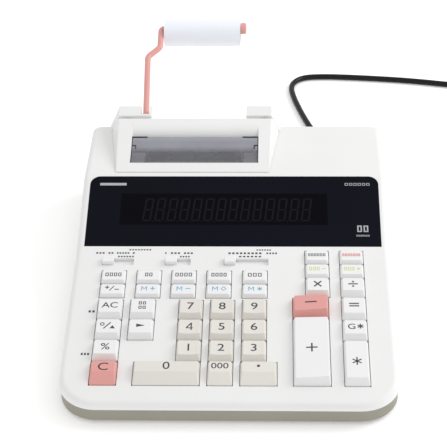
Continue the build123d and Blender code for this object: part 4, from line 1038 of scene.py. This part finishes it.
def plate_strip(bm, left, right, front, rear):
    """A thin dark strip of painted gap shade that lies on the plate, bent where the plate bends."""
    rings = []
    for depth in (front, PLATE_BEND, rear) if front < PLATE_BEND < rear else (front, rear):
        low, high = plate_height(depth) - GAP_SHADE_SINK, plate_height(depth) + GAP_SHADE_LIFT
        corners = ((left, low), (right, low), (right, high), (left, high))
        rings.append([bm.verts.new(from_front(x, depth, height)) for x, height in corners])
    skin(bm, rings)


def make_cutter_gap_shade():
    """Painted shade: dark strips for the shadowed gaps along the plate's sides and rear corners, and round the
    hooks that hold it.
    """
    low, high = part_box("paper_cutter")
    bm = bmesh.new()
    for edge, inward in ((low.x / MM + GAP_SHADE_INSET, 1), (high.x / MM - GAP_SHADE_INSET, -1)):
        for start, end, front, rear in GAP_SHADE_SPANS:
            left, right = sorted((edge + inward * start, edge + inward * end))
            plate_strip(bm, left, right, front, rear)
    bmesh.ops.recalc_face_normals(bm, faces=bm.faces)
    # painted shade: the strips take the black of the roller rubber to stand for shadow in the gaps
    new_object("cutter_gap_shade", mesh_of(bm, "cutter_gap_shade", smooth=False), "printer_cover",
               roller_rubber)


make_cutter_gap_shade()


# ------------------------------------------------------------------ floor and light
FLOOR_SIZE = 6.0                          # metres
FLOOR_DROP = 0.0001                       # metres, so that the feet don't lie in the floor
FLOOR_GLOW = 0.23
SKY_STRENGTH = 0.91
SKY_STOPS = (0.0, 0.8)                    # share of the way up, from the horizon's grey to white


def make_stage():
    bm = bmesh.new()
    bmesh.ops.create_grid(bm, x_segments=1, y_segments=1, size=FLOOR_SIZE)
    floor = new_object("floor", mesh_of(bm, "floor", smooth=False), None)
    material, tree, shader = fresh_material("floor_paper")
    cloud = noise(tree, coordinates_of(tree), scale=3.0)
    tint(tree, shader, cloud, (0.93, 0.93, 0.93), (0.95, 0.95, 0.95))
    shader.inputs["Roughness"].default_value = 0.8
    shader.inputs["Specular IOR Level"].default_value = 0.1
    shader.inputs["Emission Color"].default_value = (1, 1, 1, 1)
    shader.inputs["Emission Strength"].default_value = FLOOR_GLOW
    floor.data.materials.append(material)
    floor.location.z = -FLOOR_DROP


def make_soft_box(place, width, power):
    """A square light of this width (metres) and power (watts), turned to the origin."""
    data = bpy.data.lights.new("soft_box", "AREA")
    data.size = width
    data.energy = power
    light = bpy.data.objects.new("soft_box", data)
    light.location = place
    light.rotation_mode = "QUATERNION"
    light.rotation_quaternion = (-Vector(place)).to_track_quat("-Z", "Y")
    bpy.context.scene.collection.objects.link(light)


def make_sky():
    world = bpy.data.worlds.new("studio")
    world.use_nodes = True
    tree = world.node_tree
    background = tree.nodes["Background"]
    direction = tree.nodes.new("ShaderNodeTexCoord").outputs["Generated"]
    sky = ramp(tree, parts_of(tree, direction)["Z"], (0.80, 0.80, 0.80), (0.97, 0.97, 0.97),
               SKY_STOPS)
    tree.links.new(sky, background.inputs["Color"])
    background.inputs["Strength"].default_value = SKY_STRENGTH
    bpy.context.scene.world = world
    bpy.context.scene.view_settings.view_transform = "Standard"
    bpy.context.scene.view_settings.look = "None"


make_stage()
make_sky()
make_soft_box((1.25, 0.45, 1.0), width=0.9, power=10.5)
